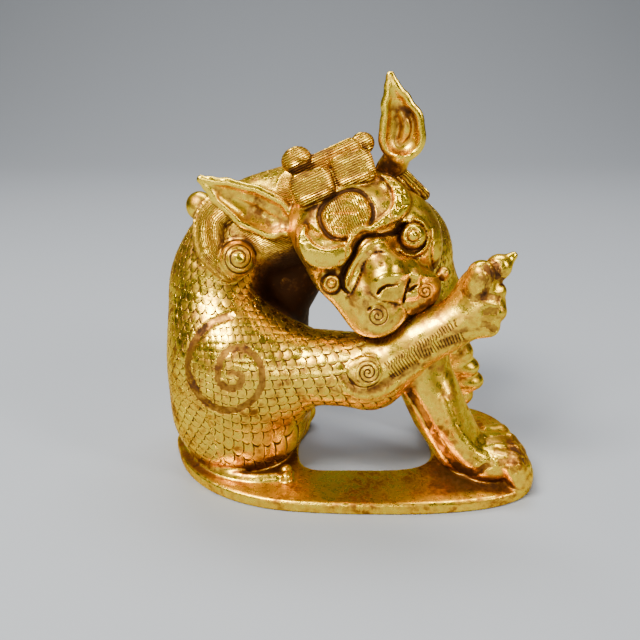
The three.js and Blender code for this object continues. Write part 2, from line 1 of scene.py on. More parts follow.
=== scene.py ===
"""A gilt bronze qilin figurine: a seated, scaled beast that licks its raised hind paw.

Sizes are in millimetres until a mesh is finished, then in metres in the frame's own axes:
+X to the viewer's right, +Y away from the viewer, +Z up, origin under the plate's middle.
"""
import math
from concurrent.futures import ThreadPoolExecutor

import bpy
import numpy as np
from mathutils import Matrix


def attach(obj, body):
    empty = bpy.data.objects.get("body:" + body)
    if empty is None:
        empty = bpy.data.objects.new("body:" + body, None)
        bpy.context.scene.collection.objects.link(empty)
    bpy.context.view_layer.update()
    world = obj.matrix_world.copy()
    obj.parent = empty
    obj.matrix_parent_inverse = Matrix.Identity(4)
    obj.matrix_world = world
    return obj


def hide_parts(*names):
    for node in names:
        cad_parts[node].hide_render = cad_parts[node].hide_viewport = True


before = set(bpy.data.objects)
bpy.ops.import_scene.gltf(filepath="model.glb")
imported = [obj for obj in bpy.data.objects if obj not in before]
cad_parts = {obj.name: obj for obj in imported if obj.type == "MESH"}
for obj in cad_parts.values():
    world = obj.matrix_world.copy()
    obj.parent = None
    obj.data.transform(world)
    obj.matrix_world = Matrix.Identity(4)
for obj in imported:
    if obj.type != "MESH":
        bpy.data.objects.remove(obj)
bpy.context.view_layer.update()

MM = 0.001

# Camera, floor and light.
# The viewer looks slightly down at the figurine from the front. It stands on a pale
# seamless sweep of paper, under one large soft lamp, a weaker one and a strip behind.

VIEWER = (-8.41, -167.85, 113)
VIEW_TILT = 22.8
IMAGE_SIDE = 640
FOCAL_PIXELS = 691
SENSOR_WIDTH = 36

camera_data = bpy.data.cameras.new("viewer")
camera_data.sensor_width = SENSOR_WIDTH
camera_data.lens = SENSOR_WIDTH * FOCAL_PIXELS / IMAGE_SIDE
camera_data.clip_start = 0.01
camera = bpy.data.objects.new("viewer", camera_data)
camera.location = [value * MM for value in VIEWER]
camera.rotation_euler = (math.radians(90 - VIEW_TILT), 0, 0)
bpy.context.scene.collection.objects.link(camera)
bpy.context.scene.camera = camera


def node_in(tree, kind, inputs=(), **settings):
    """A shader node with its settings, and its inputs given as values or as sockets."""
    made = tree.nodes.new(kind)
    for name, value in settings.items():
        setattr(made, name, value)
    for key, value in dict(inputs).items():
        if isinstance(value, bpy.types.NodeSocket):
            tree.links.new(value, made.inputs[key])
        else:
            made.inputs[key].default_value = value
    return made


def paper_sweep(half_width=1.6, front=-1.2, bend_start=0.45, bend=0.5, height=1.6, steps=24):
    """A floor that curves up into a wall behind the figurine."""
    profile = [(front, 0.0), (bend_start, 0.0)]
    for i in range(1, steps + 1):
        angle = math.pi / 2 * i / steps
        profile.append((bend_start + bend * math.sin(angle), bend * (1 - math.cos(angle))))
    profile.append((bend_start + bend, height))
    points = [(side * half_width, y, z) for y, z in profile for side in (-1, 1)]
    faces = [(2 * i, 2 * i + 1, 2 * i + 3, 2 * i + 2) for i in range(len(profile) - 1)]
    mesh = bpy.data.meshes.new("paper_sweep")
    mesh.from_pydata(points, [], faces)
    mesh.shade_smooth()
    return bpy.data.objects.new("paper_sweep", mesh)


paper = bpy.data.materials.new("grey_paper")
paper.use_nodes = True
paper.node_tree.nodes["Principled BSDF"].inputs["Base Color"].default_value = (0.27, 0.3, 0.36, 1)
paper.node_tree.nodes["Principled BSDF"].inputs["Roughness"].default_value = 0.85
sweep = paper_sweep()
sweep.data.materials.append(paper)
bpy.context.scene.collection.objects.link(sweep)


def softbox(name, place, aim, size, power, colour=(1, 1, 1)):
    """A rectangular lamp that faces the aimed point."""
    lamp = bpy.data.lights.new(name, "AREA")
    lamp.shape = "RECTANGLE"
    lamp.size, lamp.size_y = size
    lamp.energy = power
    lamp.color = colour
    holder = bpy.data.objects.new(name, lamp)
    holder.location = place
    direction = np.subtract(aim, place)
    flat = math.hypot(direction[0], direction[1])
    holder.rotation_euler = (math.atan2(flat, -direction[2]), 0, math.atan2(-direction[0], direction[1]))
    bpy.context.scene.collection.objects.link(holder)


MIDDLE = (0, 0, 0.05)
softbox("key_lamp", (-0.3, -0.3, 0.55), MIDDLE, (0.26, 0.2), 10.5, (1, 0.94, 0.8))
softbox("fill_lamp", (0.5, -0.3, 0.4), MIDDLE, (0.1, 0.3), 3, (1, 0.94, 0.8))
softbox("top_lamp", (0.05, 0.25, 0.7), MIDDLE, (0.6, 0.16), 6, (1, 0.96, 0.9))
softbox("low_lamp", (-0.1, -0.6, 0.16), MIDDLE, (0.4, 0.05), 0.9, (1, 0.96, 0.9))

world = bpy.data.worlds.new("room")
world.use_nodes = True
world.node_tree.nodes["Background"].inputs["Color"].default_value = (0.8, 0.78, 0.74, 1)
world.node_tree.nodes["Background"].inputs["Strength"].default_value = 0.05
bpy.context.scene.world = world

# The body: trunk, haunches, legs, mane, tail and plate.
# One casting in bronze, chased with scales and combed hair, then gilt. It is shaped like
# its wax: rounded masses pressed together with soft seams, and its surface walked out fine.

WAX_TO_FRAME = (1.0865, 0.1469, 0)
PLATE_THICKNESS = 3.4
HAUNCH_RADIUS = 16.5
TORSO_RADIUS = 12.6
THIGH_RADIUS = 9.6
SHANK_RADIUS = 5.9
FORELEG_RADIUS = 7.2
TOE_RADIUS = 3.7

EAR_WALL = 1.8
EAR_LIP = 0.7
EAR_FLATNESS = 1.35
# x, z and half width along the left ear, and how far back its middle lies
LEFT_EAR = [
    (-17.6, 70.6, 3.8), (-21, 71.8, 5.5), (-26, 74.2, 5.6),
    (-31.6, 77.3, 4), (-35.2, 79.6, 2.1), (-37.2, 80.8, 1.1),
]
LEFT_EAR_DEPTH = -7

WORLD_AXES = np.eye(3)


def unit(vector):
    return np.asarray(vector, float) / np.linalg.norm(vector)


def length_of(rows):
    return np.sqrt(np.einsum("ij,ij->i", rows, rows))


def smooth_step(low, high, value):
    share = np.clip((value - low) / (high - low), 0, 1)
    return share * share * (3 - 2 * share)


def ellipsoid(centre, radii, axes=WORLD_AXES):
    """A ball stretched along three axes, as centre, reach and distance function."""
    centre = np.asarray(centre, np.float32)
    radii = np.asarray(radii, np.float32)
    to_axes = np.asarray(axes, np.float32).T

    def distance(points):
        q = ((points - centre) @ to_axes) / radii
        k0 = length_of(q)
        k1 = length_of(q / radii)
        return np.where(k1 < 1e-6, -radii.min(), k0 * (k0 - 1) / np.maximum(k1, 1e-6))

    return centre, float(radii.max()), distance


def limb(joints, radii):
    """A chain of cones with ball ends, its radius running from joint to joint."""
    joints = np.asarray(joints, np.float32)
    radii = np.asarray(radii, np.float32)
    centre = joints.mean(0)
    reach = float((length_of(joints - centre) + radii).max())
    starts = joints[:-1]
    along = joints[1:] - starts
    squared = np.maximum(np.einsum("ij,ij->i", along, along), 1e-9)

    def distance(points):
        middle = (points.min(0) + points.max(0)) / 2
        spread = np.linalg.norm(points.max(0) - middle)
        share = np.clip(np.einsum("ij,ij->i", middle - starts, along) / squared, 0, 1)
        gaps = length_of(middle - starts - along * share[:, None])
        nearest = (gaps - np.minimum(radii[:-1], radii[1:])).min() + spread
        best = np.full(len(points), np.inf, np.float32)
        for i in np.flatnonzero(gaps - np.maximum(radii[:-1], radii[1:]) - spread <= nearest):
            d = points - starts[i]
            t = np.clip(d @ along[i] / squared[i], 0, 1)
            d = d - t[:, None] * along[i]
            best = np.minimum(best, length_of(d) - (radii[i] + (radii[i + 1] - radii[i]) * t))
        return best

    return centre, reach, distance


def smooth_path(stations, steps=6):
    """Points of a rounded curve through the stations, whose columns may be any values."""
    stations = np.asarray(stations, float)
    ends = np.vstack([2 * stations[0] - stations[1], stations, 2 * stations[-1] - stations[-2]])
    path = []
    for a, b, c, d in zip(ends, ends[1:], ends[2:], ends[3:]):
        for t in np.arange(steps) / steps:
            bend = (2 * a - 5 * b + 4 * c - d) * t * t + (3 * b - a - 3 * c + d) * t * t * t
            path.append(b + ((c - a) * t + bend) / 2)
    return np.array(path + [stations[-1]])


def curved_limb(joints, radii, steps=5):
    path = smooth_path(np.column_stack([joints, radii]), steps)
    return limb(path[:, :3], path[:, 3])


def neighbourhoods(points, size=9.6):
    """Indices of the points, cut into groups that lie in the same cube."""
    cubes = np.floor(points / size).astype(np.int64) + 500
    keys = (cubes[:, 0] * 1000 + cubes[:, 1]) * 1000 + cubes[:, 2]
    order = np.argsort(keys, kind="stable")
    return np.split(order, np.flatnonzero(np.diff(keys[order])) + 1)


class Wax:
    """Forms added or cut one after another, each with its seam softness and its coat."""

    def __init__(self):
        self.forms = []

    def add(self, form, seam, coat="skin"):
        self.forms.append((*form, seam, False, coat))

    def cut(self, form, seam):
        self.forms.append((*form, seam, True, ""))

    def depth(self, points):
        """Distance outside the surface, negative inside."""
        points = np.asarray(points, np.float32)
        found = np.empty(len(points), np.float32)

        def fill(group):
            found[group] = self.depth_nearby(points[group])

        with ThreadPoolExecutor() as hands:
            list(hands.map(fill, neighbourhoods(points)))
        return found

    def depth_nearby(self, points):
        middle = (points.min(0) + points.max(0)) / 2
        spread = np.linalg.norm(points.max(0) - middle)
        d = np.full(len(points), 50, np.float32)
        for centre, reach, distance, seam, is_cut, _ in self.forms:
            gap = np.linalg.norm(middle - centre) - reach - spread
            if gap > seam + (-d.min() if is_cut else d.max()):
                continue
            other = -distance(points) if is_cut else distance(points)
            near = np.maximum(seam - np.abs(d - other), 0) / seam
            soft = near * near * (seam / 4)
            d = np.maximum(d, other) + soft if is_cut else np.minimum(d, other) - soft
        return d

    def coats(self, points, far=3):
        """For each coat, how much nearer its forms are than all the others'."""
        points = np.asarray(points, np.float32)
        names = sorted({form[5] for form in self.forms if not form[4]})
        nearest = {name: np.full(len(points), far, np.float32) for name in names}

        def fill(group):
            near = points[group]
            middle = (near.min(0) + near.max(0)) / 2
            spread = np.linalg.norm(near.max(0) - middle)
            for centre, reach, distance, _, is_cut, name in self.forms:
                if is_cut or np.linalg.norm(middle - centre) - reach - spread > far:
                    continue
                nearest[name][group] = np.minimum(nearest[name][group], distance(near))

        with ThreadPoolExecutor() as hands:
            list(hands.map(fill, neighbourhoods(points)))
        return {
            name: np.minimum.reduce([nearest[n] for n in names if n != name]) - nearest[name] for name in names
        }


def line_gap(plan, path, far=None):
    """Distance in a plane from each point to a path, and how far along the path it is."""
    path = np.asarray(path, float)
    best = np.full(len(plan), np.inf if far is None else far)
    along_best = np.zeros(len(plan))
    near = np.arange(len(plan))
    if far is not None:
        close = (plan > path.min(0) - far) & (plan < path.max(0) + far)
        near = np.flatnonzero(close.all(1))
    some = plan[near]
    gap_near = best[near]
    along_near = along_best[near]
    travelled = 0
    for a, b in zip(path, path[1:]):
        along = b - a
        length = np.linalg.norm(along)
        d = some - a
        t = np.clip(d @ along / length ** 2, 0, 1)
        gap = length_of(d - t[:, None] * along)
        nearer = gap < gap_near
        gap_near = np.where(nearer, gap, gap_near)
        along_near = np.where(nearer, travelled + t * length, along_near)
        travelled += length
    best[near] = gap_near
    along_best[near] = along_near
    return best, along_best


def near_blocks(wax, low, blocks, size, margin=1.4):
    """The blocks of a lattice that the surface may cross, of those offered."""
    middle = wax.depth(low + (blocks + 0.5) * size)
    return blocks[np.abs(middle) < margin * size * math.sqrt(3) / 2], middle


def lattice(counts):
    return np.stack(np.meshgrid(*[np.arange(n) for n in counts], indexing="ij"), -1).reshape(-1, 3)


def walk_surface(wax, low, high, cell, relief=None, block=4, group=4):
    """Points, slopes and four-sided faces of the wax's surface on a lattice of small cells.

    Groups of blocks, then blocks, then cells are sampled, each only near the surface.
    """
    low = np.asarray(low, np.float32)
    size = cell * block
    groups = np.ceil((np.asarray(high) - low) / (size * group)).astype(int)
    offered = lattice(groups)
    kept, middle = near_blocks(wax, low, offered, size * group)
    sign = np.where(middle < 0, -1, 1).astype(np.float32).reshape(groups)
    for _ in range(3):
        sign = np.repeat(sign, group, axis=_)
    offered = (kept[:, None] * group + lattice([group] * 3)[None]).reshape(-1, 3)
    kept, middle = near_blocks(wax, low, offered, size)
    sign[tuple(offered.T)] = np.where(middle < 0, -1, 1)
    values = sign
    for _ in range(3):
        values = np.repeat(values, block, axis=_)
    cells = (kept[:, None] * block + lattice([block] * 3)[None]).reshape(-1, 3)
    places = low + cells.astype(np.float32) * np.float32(cell)
    depth = wax.depth(places)
    if relief:
        near = np.abs(depth) < 3
        depth[near] -= relief(places[near])
    values[tuple(cells.T)] = depth

    inside = values < 0
    counts = np.zeros(np.array(values.shape) - 1, np.int8)
    corners = [(i, j, k) for i in (0, 1) for j in (0, 1) for k in (0, 1)]
    nx, ny, nz = counts.shape
    for i, j, k in corners:
        counts += inside[i:i + nx, j:j + ny, k:k + nz]
    active = np.argwhere((counts > 0) & (counts < 8))
    number = np.full(counts.shape, -1, np.int32)
    number[tuple(active.T)] = np.arange(len(active))

    at = {c: values[tuple((active + c).T)] for c in corners}
    total = np.zeros((len(active), 3), np.float32)
    slope = np.zeros((len(active), 3), np.float32)
    crossings = np.zeros(len(active), np.float32)
    for a in corners:
        for axis in range(3):
            if a[axis]:
                continue
            b = tuple(1 if n == axis else a[n] for n in range(3))
            crossed = (at[a] < 0) != (at[b] < 0)
            share = np.where(crossed, at[a] / np.where(crossed, at[a] - at[b], 1), 0)
            place = np.tile(np.array(a, np.float32), (len(active), 1))
            place[:, axis] = share
            total += place * crossed[:, None]
            crossings += crossed
            slope[:, axis] += (at[b] - at[a]) / (4 * cell)
    points = low + (active + total / crossings[:, None]) * np.float32(cell)
    slope /= np.maximum(length_of(slope), 1e-3)[:, None]

    faces = []
    for axis in range(3):
        side, depth = [n for n in range(3) if n != axis]
        crossing = inside != np.roll(inside, -1, axis)
        crossing[tuple(slice(-1, None) if n == axis else slice(None) for n in range(3))] = False
        edges = np.argwhere(crossing)
        edges = edges[(edges[:, side] > 0) & (edges[:, depth] > 0)]
        edges = edges[(edges < np.array(counts.shape)).all(1)]
        ring = []
        for back_side, back_depth in ((0, 0), (1, 0), (1, 1), (0, 1)):
            cell_at = edges.copy()
            cell_at[:, side] -= back_side
            cell_at[:, depth] -= back_depth
            ring.append(number[tuple(cell_at.T)])
        ring = np.stack(ring, 1)
        turned = inside[tuple(edges.T)] == (axis == 1)
        ring[turned] = ring[turned][:, ::-1]
        faces.append(ring)
    return points, slope, np.vstack(faces)


body = Wax()


def trunk():
    r = TORSO_RADIUS
    # the near flank rises from the rump, bends over at the mane and comes down at the shoulder
    spine = [
        (-31, 1, 17), (-33, 2, 31), (-36.2, 2, 44), (-35.4, 3, 55), (-28, 6, 65),
        (-14, 9, 70), (0, 11, 67), (12, 12, 57.5), (16.5, 11, 46),
    ]
    radii = [r + 4, r + 2.4, r + 0.4, r - 0.4, r - 1, r - 1, r - 0.4, r + 0.4, r - 3]
    body.add(curved_limb(spine, radii), 4, "scales")
    # the belly leans to the far side, under the arch
    belly = [(-27, 8, 28), (-21, 11, 45), (-15, 12, 57), (-3, 13, 65), (12, 13, 59)]
    body.add(limb(belly, [13, 9.2, 9.6, 10.5, 12.4]), 5, "scales")
    return spine


def hindquarters():
    r = HAUNCH_RADIUS
    body.add(ellipsoid((-31, -2, 19), (18.2, 14.6, 20)), 7, "scales")
    body.add(ellipsoid((-32, -6, 34), (r - 0.4, 14.6, r + 1)), 7, "scales")
    body.add(ellipsoid((-30, 12, 28), (r - 0.5, 12, r)), 6, "scales")
    body.add(limb([(-28, -9, 28), (-19, -9, 28)], [11, 9.5]), 5, "scales")
    # the far leg is folded under, with its foot on the plate
    body.add(limb([(-28, 15, 24), (-20, 17, 14)], [9, 7]), 4, "scales")
    body.add(limb([(-22, 18, 6), (-15, 17, 5)], [5, 4.2]), 3)
    # the near leg is lifted: thigh, knee and shank
    t = THIGH_RADIUS
    body.add(limb([(-28, -7, 34.6), (-12, -11.5, 34.6), (0, -13, 34.4)], [14, t, t - 0.2]), 4, "scales")
    body.add(ellipsoid((4, -14, 34.2), (8.4, 7.6, 9.6)), 3, "scales")
    s = SHANK_RADIUS
    shank = [(6, -14.5, 36.5), (14, -16, 43.6), (22, -17, 48.6), (27.6, -17, 53)]
    body.add(limb(shank, [7.4, s + 0.7, s, s + 0.4]), 3)
    body.add(ellipsoid((2.4, -20.2, 37.4), (4.6, 1.8, 4.6)), 0.6)


def raised_paw():
    body.add(ellipsoid((27.6, -16.5, 54.6), (5.6, 6, 8)), 2)
    toes = [
        ((26.2, -19.6, 57.6), (27, -20, 62), 3.3, 3.3),
        ((28.6, -17, 59.4), (31.6, -17, 62.8), 3, 3),
        ((31.8, -16.5, 62.5), (34.8, -16.5, 65.3), 2.6, 1),
        ((28.4, -18, 56), (31.2, -18.6, 57.4), 2.8, 2.3),
        ((28.4, -19, 52.2), (31, -20, 53), 3, 2.7),
        ((27, -19, 48.8), (29.8, -19.6, 49.2), 3, 2.8),
    ]
    for start, end, start_radius, end_radius in toes:
        body.add(limb([start, end], [start_radius, end_radius]), 0.5)


def paw(middle, radii, scale):
    body.add(ellipsoid(middle, radii), 2.5)
    size = TOE_RADIUS * scale
    for across in (-1.5, -0.5, 0.5, 1.5):
        side = across * 4.6 * scale
        ahead = radii[0] - 2 - abs(across) * 1.1
        root = np.add(middle, (ahead - 6, side * 0.8, 3))
        knuckle = np.add(middle, (ahead - 2.4, side, 2.2))
        tip = np.add(middle, (ahead, side, -2.4))
        body.add(limb([root, knuckle, tip], [size * 0.7, size * 0.85, size * 0.9]), 0.35)


def forelegs():
    r = FORELEG_RADIUS
    near = [(13, -2, 44), (17.4, -6, 30), (22, -8.5, 20), (27.5, -10, 10.5)]
    far = [(20, 12, 44), (26.4, 14, 28), (27, 15, 13)]
    body.add(limb(near, [9, r + 0.5, r + 0.2, r - 0.4]), 4)
    body.add(limb(far, [10, r - 0.2, r]), 5)
    # a soft ridge runs down the near leg and turns out to the toes
    ridge = [(22, -11, 27), (25.5, -14.5, 16), (31, -16, 9.6), (38, -16, 9)]
    body.add(curved_limb(ridge, [3, 3.2, 3, 2.4]), 1.4)
    paw((36, -11, 7.6), (10, 8.4, 6), 1)
    paw((26.4, 15, 7.4), (7, 7, 5.6), 0.86)
    # flame-like tufts stand out one below the other behind the far leg
    for centre, radii in (
        ((30.8, 12, 27.6), (3.8, 4, 2.9)), ((32.2, 12, 23), (4.6, 4.2, 2.9)),
        ((33.4, 12.6, 18), (5.2, 4.2, 3.2)), ((31.6, 13, 13), (4.4, 3.8, 3.2)),
    ):
        body.add(ellipsoid(centre, radii), 2)


def leaf(stations, depth, shrink):
    """A leaf-shaped bowl. Its stations are x, z and half width in the plane at the depth."""
    rows = np.array([(x, depth * EAR_FLATNESS, z, max(half - shrink, 0.2)) for x, z, half in stations])
    centre, reach, chain = limb(rows[:, :3], rows[:, 3])
    centre = np.array([centre[0], depth, centre[2]], np.float32)
    stretch = np.array([1, EAR_FLATNESS, 1], np.float32)
    return centre, reach, lambda points: 0.85 * chain(points * stretch)


def mane():
    body.add(ellipsoid((-23, 4, 67.5), (14, 10.5, 10.4)), 4, "hair")
    body.add(ellipsoid((-6, 3, 74.5), (15, 10, 9)), 4, "hair")
    # the combed lock falls beside the ear and ends in a curl
    lock = [(-31, -3, 75), (-36, -4, 70.6), (-36, -7, 64), (-31.5, -9, 59.4)]
    body.add(curved_limb(lock, [4, 4, 3.6, 3]), 1.2, "lock")
    body.add(limb([(-29.6, -8.4, 62), (-29.6, -9.6, 62.2)], [4.4, 4.2]), 0.8, "curl")
    body.add(ellipsoid((-40.5, 8, 71), (3.6, 3.6, 3.8)), 1.2)
    body.add(limb([(9, 3, 80), (16.6, 4, 74.8)], [3, 1.5]), 1, "hair")
    # the left ear's bowl stays clear of the mane behind it
    body.cut(leaf(LEFT_EAR, LEFT_EAR_DEPTH - EAR_LIP, EAR_WALL / 2), 0.4)
    return lock


def tail():
    z = PLATE_THICKNESS + 0.6
    path = [
        (-34, 19, z + 14), (-39.5, 21, z + 6), (-45.4, 16, z + 1.5), (-48, 6, z + 0.2),
        (-43.4, -5, z), (-36.4, -12.6, z), (-28, -15.8, z), (-21, -15.6, z),
    ]
    body.add(curved_limb(path, [3.4, 3, 2.4, 1.8, 1.4, 1.3, 1.3, 1.2]), 1.4)
    body.add(ellipsoid((-18.6, -13.6, z + 0.6), (1.7, 1.7, 1.7)), 0.4)
    body.add(ellipsoid((-18.4, -16, z + 0.2), (1.5, 1.5, 1.5)), 0.4)


def plate(edge=0.9):
    """A thick hook in plan, open at the back, with rounded edges."""
    outline = [
        (-51, 8), (-49.8, 0), (-45.4, -9.7), (-37.2, -18), (-24.8, -23.8), (-9.5, -26),
        (10.7, -26.6), (26, -25.6), (38, -22.8), (45.6, -17.6), (48.8, -8), (47.6, 6),
        (43.6, 17), (35, 23), (26, 20.5), (22.4, 11), (21.6, -4), (15, -10.4),
        (-1.4, -11.2), (-13.6, -9.6), (-15.6, 4), (-12.6, 16), (-20, 23.6), (-33, 25.6),
        (-45, 20),
    ]
    wrapped = outline[-2:] + outline + outline[:3]
    steps = 4
    ring = smooth_path(wrapped, steps)[2 * steps:-(2 * steps + 1)].astype(np.float32)
    step = 0.5
    low = ring.min(0) - 8
    counts = np.ceil((ring.max(0) + 8 - low) / step).astype(int)
    plan = low + np.stack(np.meshgrid(*[np.arange(n) for n in counts], indexing="ij"), -1).reshape(-1, 2) * step
    gap, _ = line_gap(plan, np.vstack([ring, ring[:1]]))
    inside = np.zeros(len(plan), bool)
    for a, b in zip(ring, np.roll(ring, -1, 0)):
        rising = (a[1] > plan[:, 1]) != (b[1] > plan[:, 1])
        height = b[1] - a[1] if b[1] != a[1] else 1e-9
        inside ^= rising & (plan[:, 0] < a[0] + (plan[:, 1] - a[1]) / height * (b[0] - a[0]))
    outline_gap = np.where(inside, -gap, gap).reshape(counts).astype(np.float32)

    def distance(points):
        if points[:, 2].min() > PLATE_THICKNESS + 3:
            return points[:, 2] - PLATE_THICKNESS
        spot = np.clip((points[:, :2] - low) / step, 0, counts - 1.001)
        i, j = spot.astype(int).T
        u, v = (spot - spot.astype(int)).T
        across = (outline_gap[i, j] * (1 - u) + outline_gap[i + 1, j] * u) * (1 - v)
        across += (outline_gap[i, j + 1] * (1 - u) + outline_gap[i + 1, j + 1] * u) * v
        across += edge
        upright = np.abs(points[:, 2] - PLATE_THICKNESS / 2) - PLATE_THICKNESS / 2 + edge
        outer = np.hypot(np.maximum(across, 0), np.maximum(upright, 0))
        return (outer + np.minimum(np.maximum(across, upright), 0) - edge).astype(np.float32)

    body.add((np.array([0, 0, 2], np.float32), 58.0, distance), 1.2, "plate")


spine_stations = trunk()
hindquarters()
raised_paw()
forelegs()
lock_stations = mane()
tail()
plate()

# Chasing: scales, combed hair and engraved lines, as heights over the wax's surface.

EYES_MIDDLE = np.array([2.8, -12, 62.8])
VIEWER_IN_WAX = np.subtract(VIEWER, WAX_TO_FRAME)


def seen_from_front(points):
    """Millimetres right of and above the middle of the eyes, as the viewer sees them."""
    tilt = math.radians(VIEW_TILT)
    ahead = np.array([0, math.cos(tilt), -math.sin(tilt)])
    up = np.array([0, math.sin(tilt), math.cos(tilt)])

    def slopes(places):
        d = places - VIEWER_IN_WAX
        depth = d @ ahead
        return d[..., 0] / depth, d @ up / depth, depth

    middle_x, middle_y, middle_depth = slopes(EYES_MIDDLE)
    x, y, _ = slopes(points)
    return np.column_stack([x - middle_x, y - middle_y]) * middle_depth


def groove_profile(gap, half_width):
    return np.exp(-(gap / half_width) ** 2)


class Course:
    """A curve that carries a frame along, so that scales or hair can be laid round a limb."""

    def __init__(self, stations, outward, steps=8):
        self.path = smooth_path(stations, steps)
        steps_along = np.diff(self.path, axis=0)
        self.lengths = np.linalg.norm(steps_along, axis=1)
        self.travelled = np.concatenate([[0], np.cumsum(self.lengths)])
        tangents = np.vstack([steps_along, steps_along[-1:]])
        tangents /= np.linalg.norm(tangents, axis=1)[:, None]
        side = np.asarray(outward, float)
        self.outward = []
        self.sideways = []
        for tangent in tangents:
            side = unit(side - tangent * (side @ tangent))
            self.outward.append(side)
            self.sideways.append(np.cross(tangent, side))

    def lay(self, points):
        """Length along the course and the turn about it, from -pi to pi."""
        best = np.full(len(points), np.inf)
        along = np.zeros(len(points))
        turn = np.zeros(len(points))
        for i, length in enumerate(self.lengths):
            a, b = self.path[i], self.path[i + 1]
            d = points - a
            t = d @ (b - a) / length ** 2
            kept = np.clip(t, 0 if i else None, None if i == len(self.lengths) - 1 else 1)
            gap = length_of(d - kept[:, None] * (b - a))
            share = np.clip(t, 0, 1)[:, None]
            out = self.outward[i] * (1 - share) + self.outward[i + 1] * share
            across = self.sideways[i] * (1 - share) + self.sideways[i + 1] * share
            angle = np.arctan2(np.einsum("ij,ij->i", d, across), np.einsum("ij,ij->i", d, out))
            nearer = gap < best
            best = np.where(nearer, gap, best)
            along = np.where(nearer, self.travelled[i] + kept * length, along)
            turn = np.where(nearer, angle, turn)
        return along, turn


# Scales lie like roof tiles: down the trunk towards the rump, and in a fan from the
# flank over the haunch and along the lifted thigh

TRUNK_SCALE_PITCH = 1.62
TRUNK_SCALES_ROUND = 36
HAUNCH_FAN_CENTRE = (-62, 66)
HAUNCH_SCALE_ANGLE = 0.056
HAUNCH_SCALE_PITCH = 0.035
SCALE_RISE = 0.16
SCALE_GROOVE = 0.07
trunk_course = Course([(-27, 1, -14)] + spine_stations, (-1, -0.6, 0))


def haunch_edge(height):
    """The left border of the haunch's own scales, at a height."""
    return np.interp(height, [0, 14, 24, 31, 37, 43, 47, 50, 52, 54],
                     [-34, -36, -37.5, -39.5, -41.7, -40, -37, -32, -22, 5])


def scale_lay(points, along, turn):
    """Row and column of the scale at each point, from its place along and round the trunk."""
    row = -along / TRUNK_SCALE_PITCH
    column = turn / (2 * math.pi) * TRUNK_SCALES_ROUND
    x, y, z = points.T
    far = y > 13
    height = np.where(far, z + 7, z)
    middle_y = np.where(far, 10, np.interp(x, [-31, 0], [-4, -13]))
    middle_z = np.interp(x, [-31, 0], [33, 34.5])
    girth = np.interp(x, [-31, 0], [15, 9.4])
    facing = np.where(far, y - middle_y, middle_y - y)
    unrolled = middle_z + girth * np.arctan2(height - middle_z, facing)
    fan_x, fan_z = HAUNCH_FAN_CENTRE
    far_out = np.hypot(x - fan_x, unrolled - fan_z)
    fan_turn = np.arctan2(fan_z - unrolled, x - fan_x)
    on_haunch = (x > haunch_edge(height)) & ((y < 0.5) | far)
    row = np.where(on_haunch, np.log(np.maximum(far_out, 1)) / HAUNCH_SCALE_PITCH, row)
    column = np.where(on_haunch, fan_turn / HAUNCH_SCALE_ANGLE, column)
    seam = np.where(on_haunch, 1, smooth_step(0, 0.06, math.pi - np.abs(turn)))
    return row, column, seam


def scale_height(row, column):
    """Height of overlapping scales from 0 to 1, and the distance from the free edges."""
    step = np.floor(row)
    ahead = row - step
    across = column - (step % 2) / 2
    across -= np.round(across)
    spread = np.hypot(ahead, 2 * across)
    height = np.where(spread < 1, 0.5 + 0.5 * ahead, 0.5 * ahead)
    return height, np.abs(spread - 1)


# Engraved lines as the viewer sees them, in millimetres from the middle of the eyes


def spiral_line(centre, stations):
    """A curl about a centre, through rows of degrees and radius."""
    rows = smooth_path(stations, 8)
    turn = np.radians(rows[:, 0])
    return np.column_stack([centre[0] + rows[:, 1] * np.cos(turn), centre[1] + rows[:, 1] * np.sin(turn)])


HAUNCH_CURL = spiral_line((-33.1, -27.6), [
    (92, 14.4), (125, 12.8), (165, 10.7), (210, 8.8), (256, 8.2), (300, 7.5), (366, 7.3), (433, 7.2),
    (475, 5.4), (510, 3.8), (586, 3), (676, 2.6), (757, 1.7), (806, 0.7),
])
HOCK_DISC_CENTRE = (-1.8, -26.3)
HOCK_DISC_HALF = (4.1, 3.7)
# small curls: the centre, the space between windings, the radius, the winding's hand and start
MANE_CURL = ((-31.4, 0.5), 1.25, 4.4, -1, 0.2)
HOCK_CURL = ((-0.9, -26.6), 1.05, 2.7, -1, 0.4)
KNEE_CHANNEL = smooth_path([(-6.6, -27.6), (-4.9, -29.6), (-2, -30.8), (2, -29.8), (6.2, -27.2), (10.4, -24.8)])
KNEE_BAND = smooth_path([(-6, -30.4), (-2, -32), (2.8, -30.9), (6.8, -28.4), (11, -26)])
HATCH_ROWS = [
    smooth_path([(3.3, -25.4), (7.6, -22.7), (11.4, -20.2), (14.1, -18.6), (16.8, -16.7), (19.6, -15.1)]),
    smooth_path([(4.1, -27.6), (8.7, -24.3), (11.4, -22.4), (14.1, -21.3), (16.8, -19.7), (21.7, -17.8)]),
]
HATCH_PITCH = 0.72
LEG_GROOVE = smooth_path([(8.6, -31), (12, -36), (16.1, -43.7), (20.3, -48.9), (24.3, -50.3), (27.9, -48)])
LEG_RIDGE = smooth_path([(17, -33), (19.4, -39.5), (23.2, -44), (29, -48)])
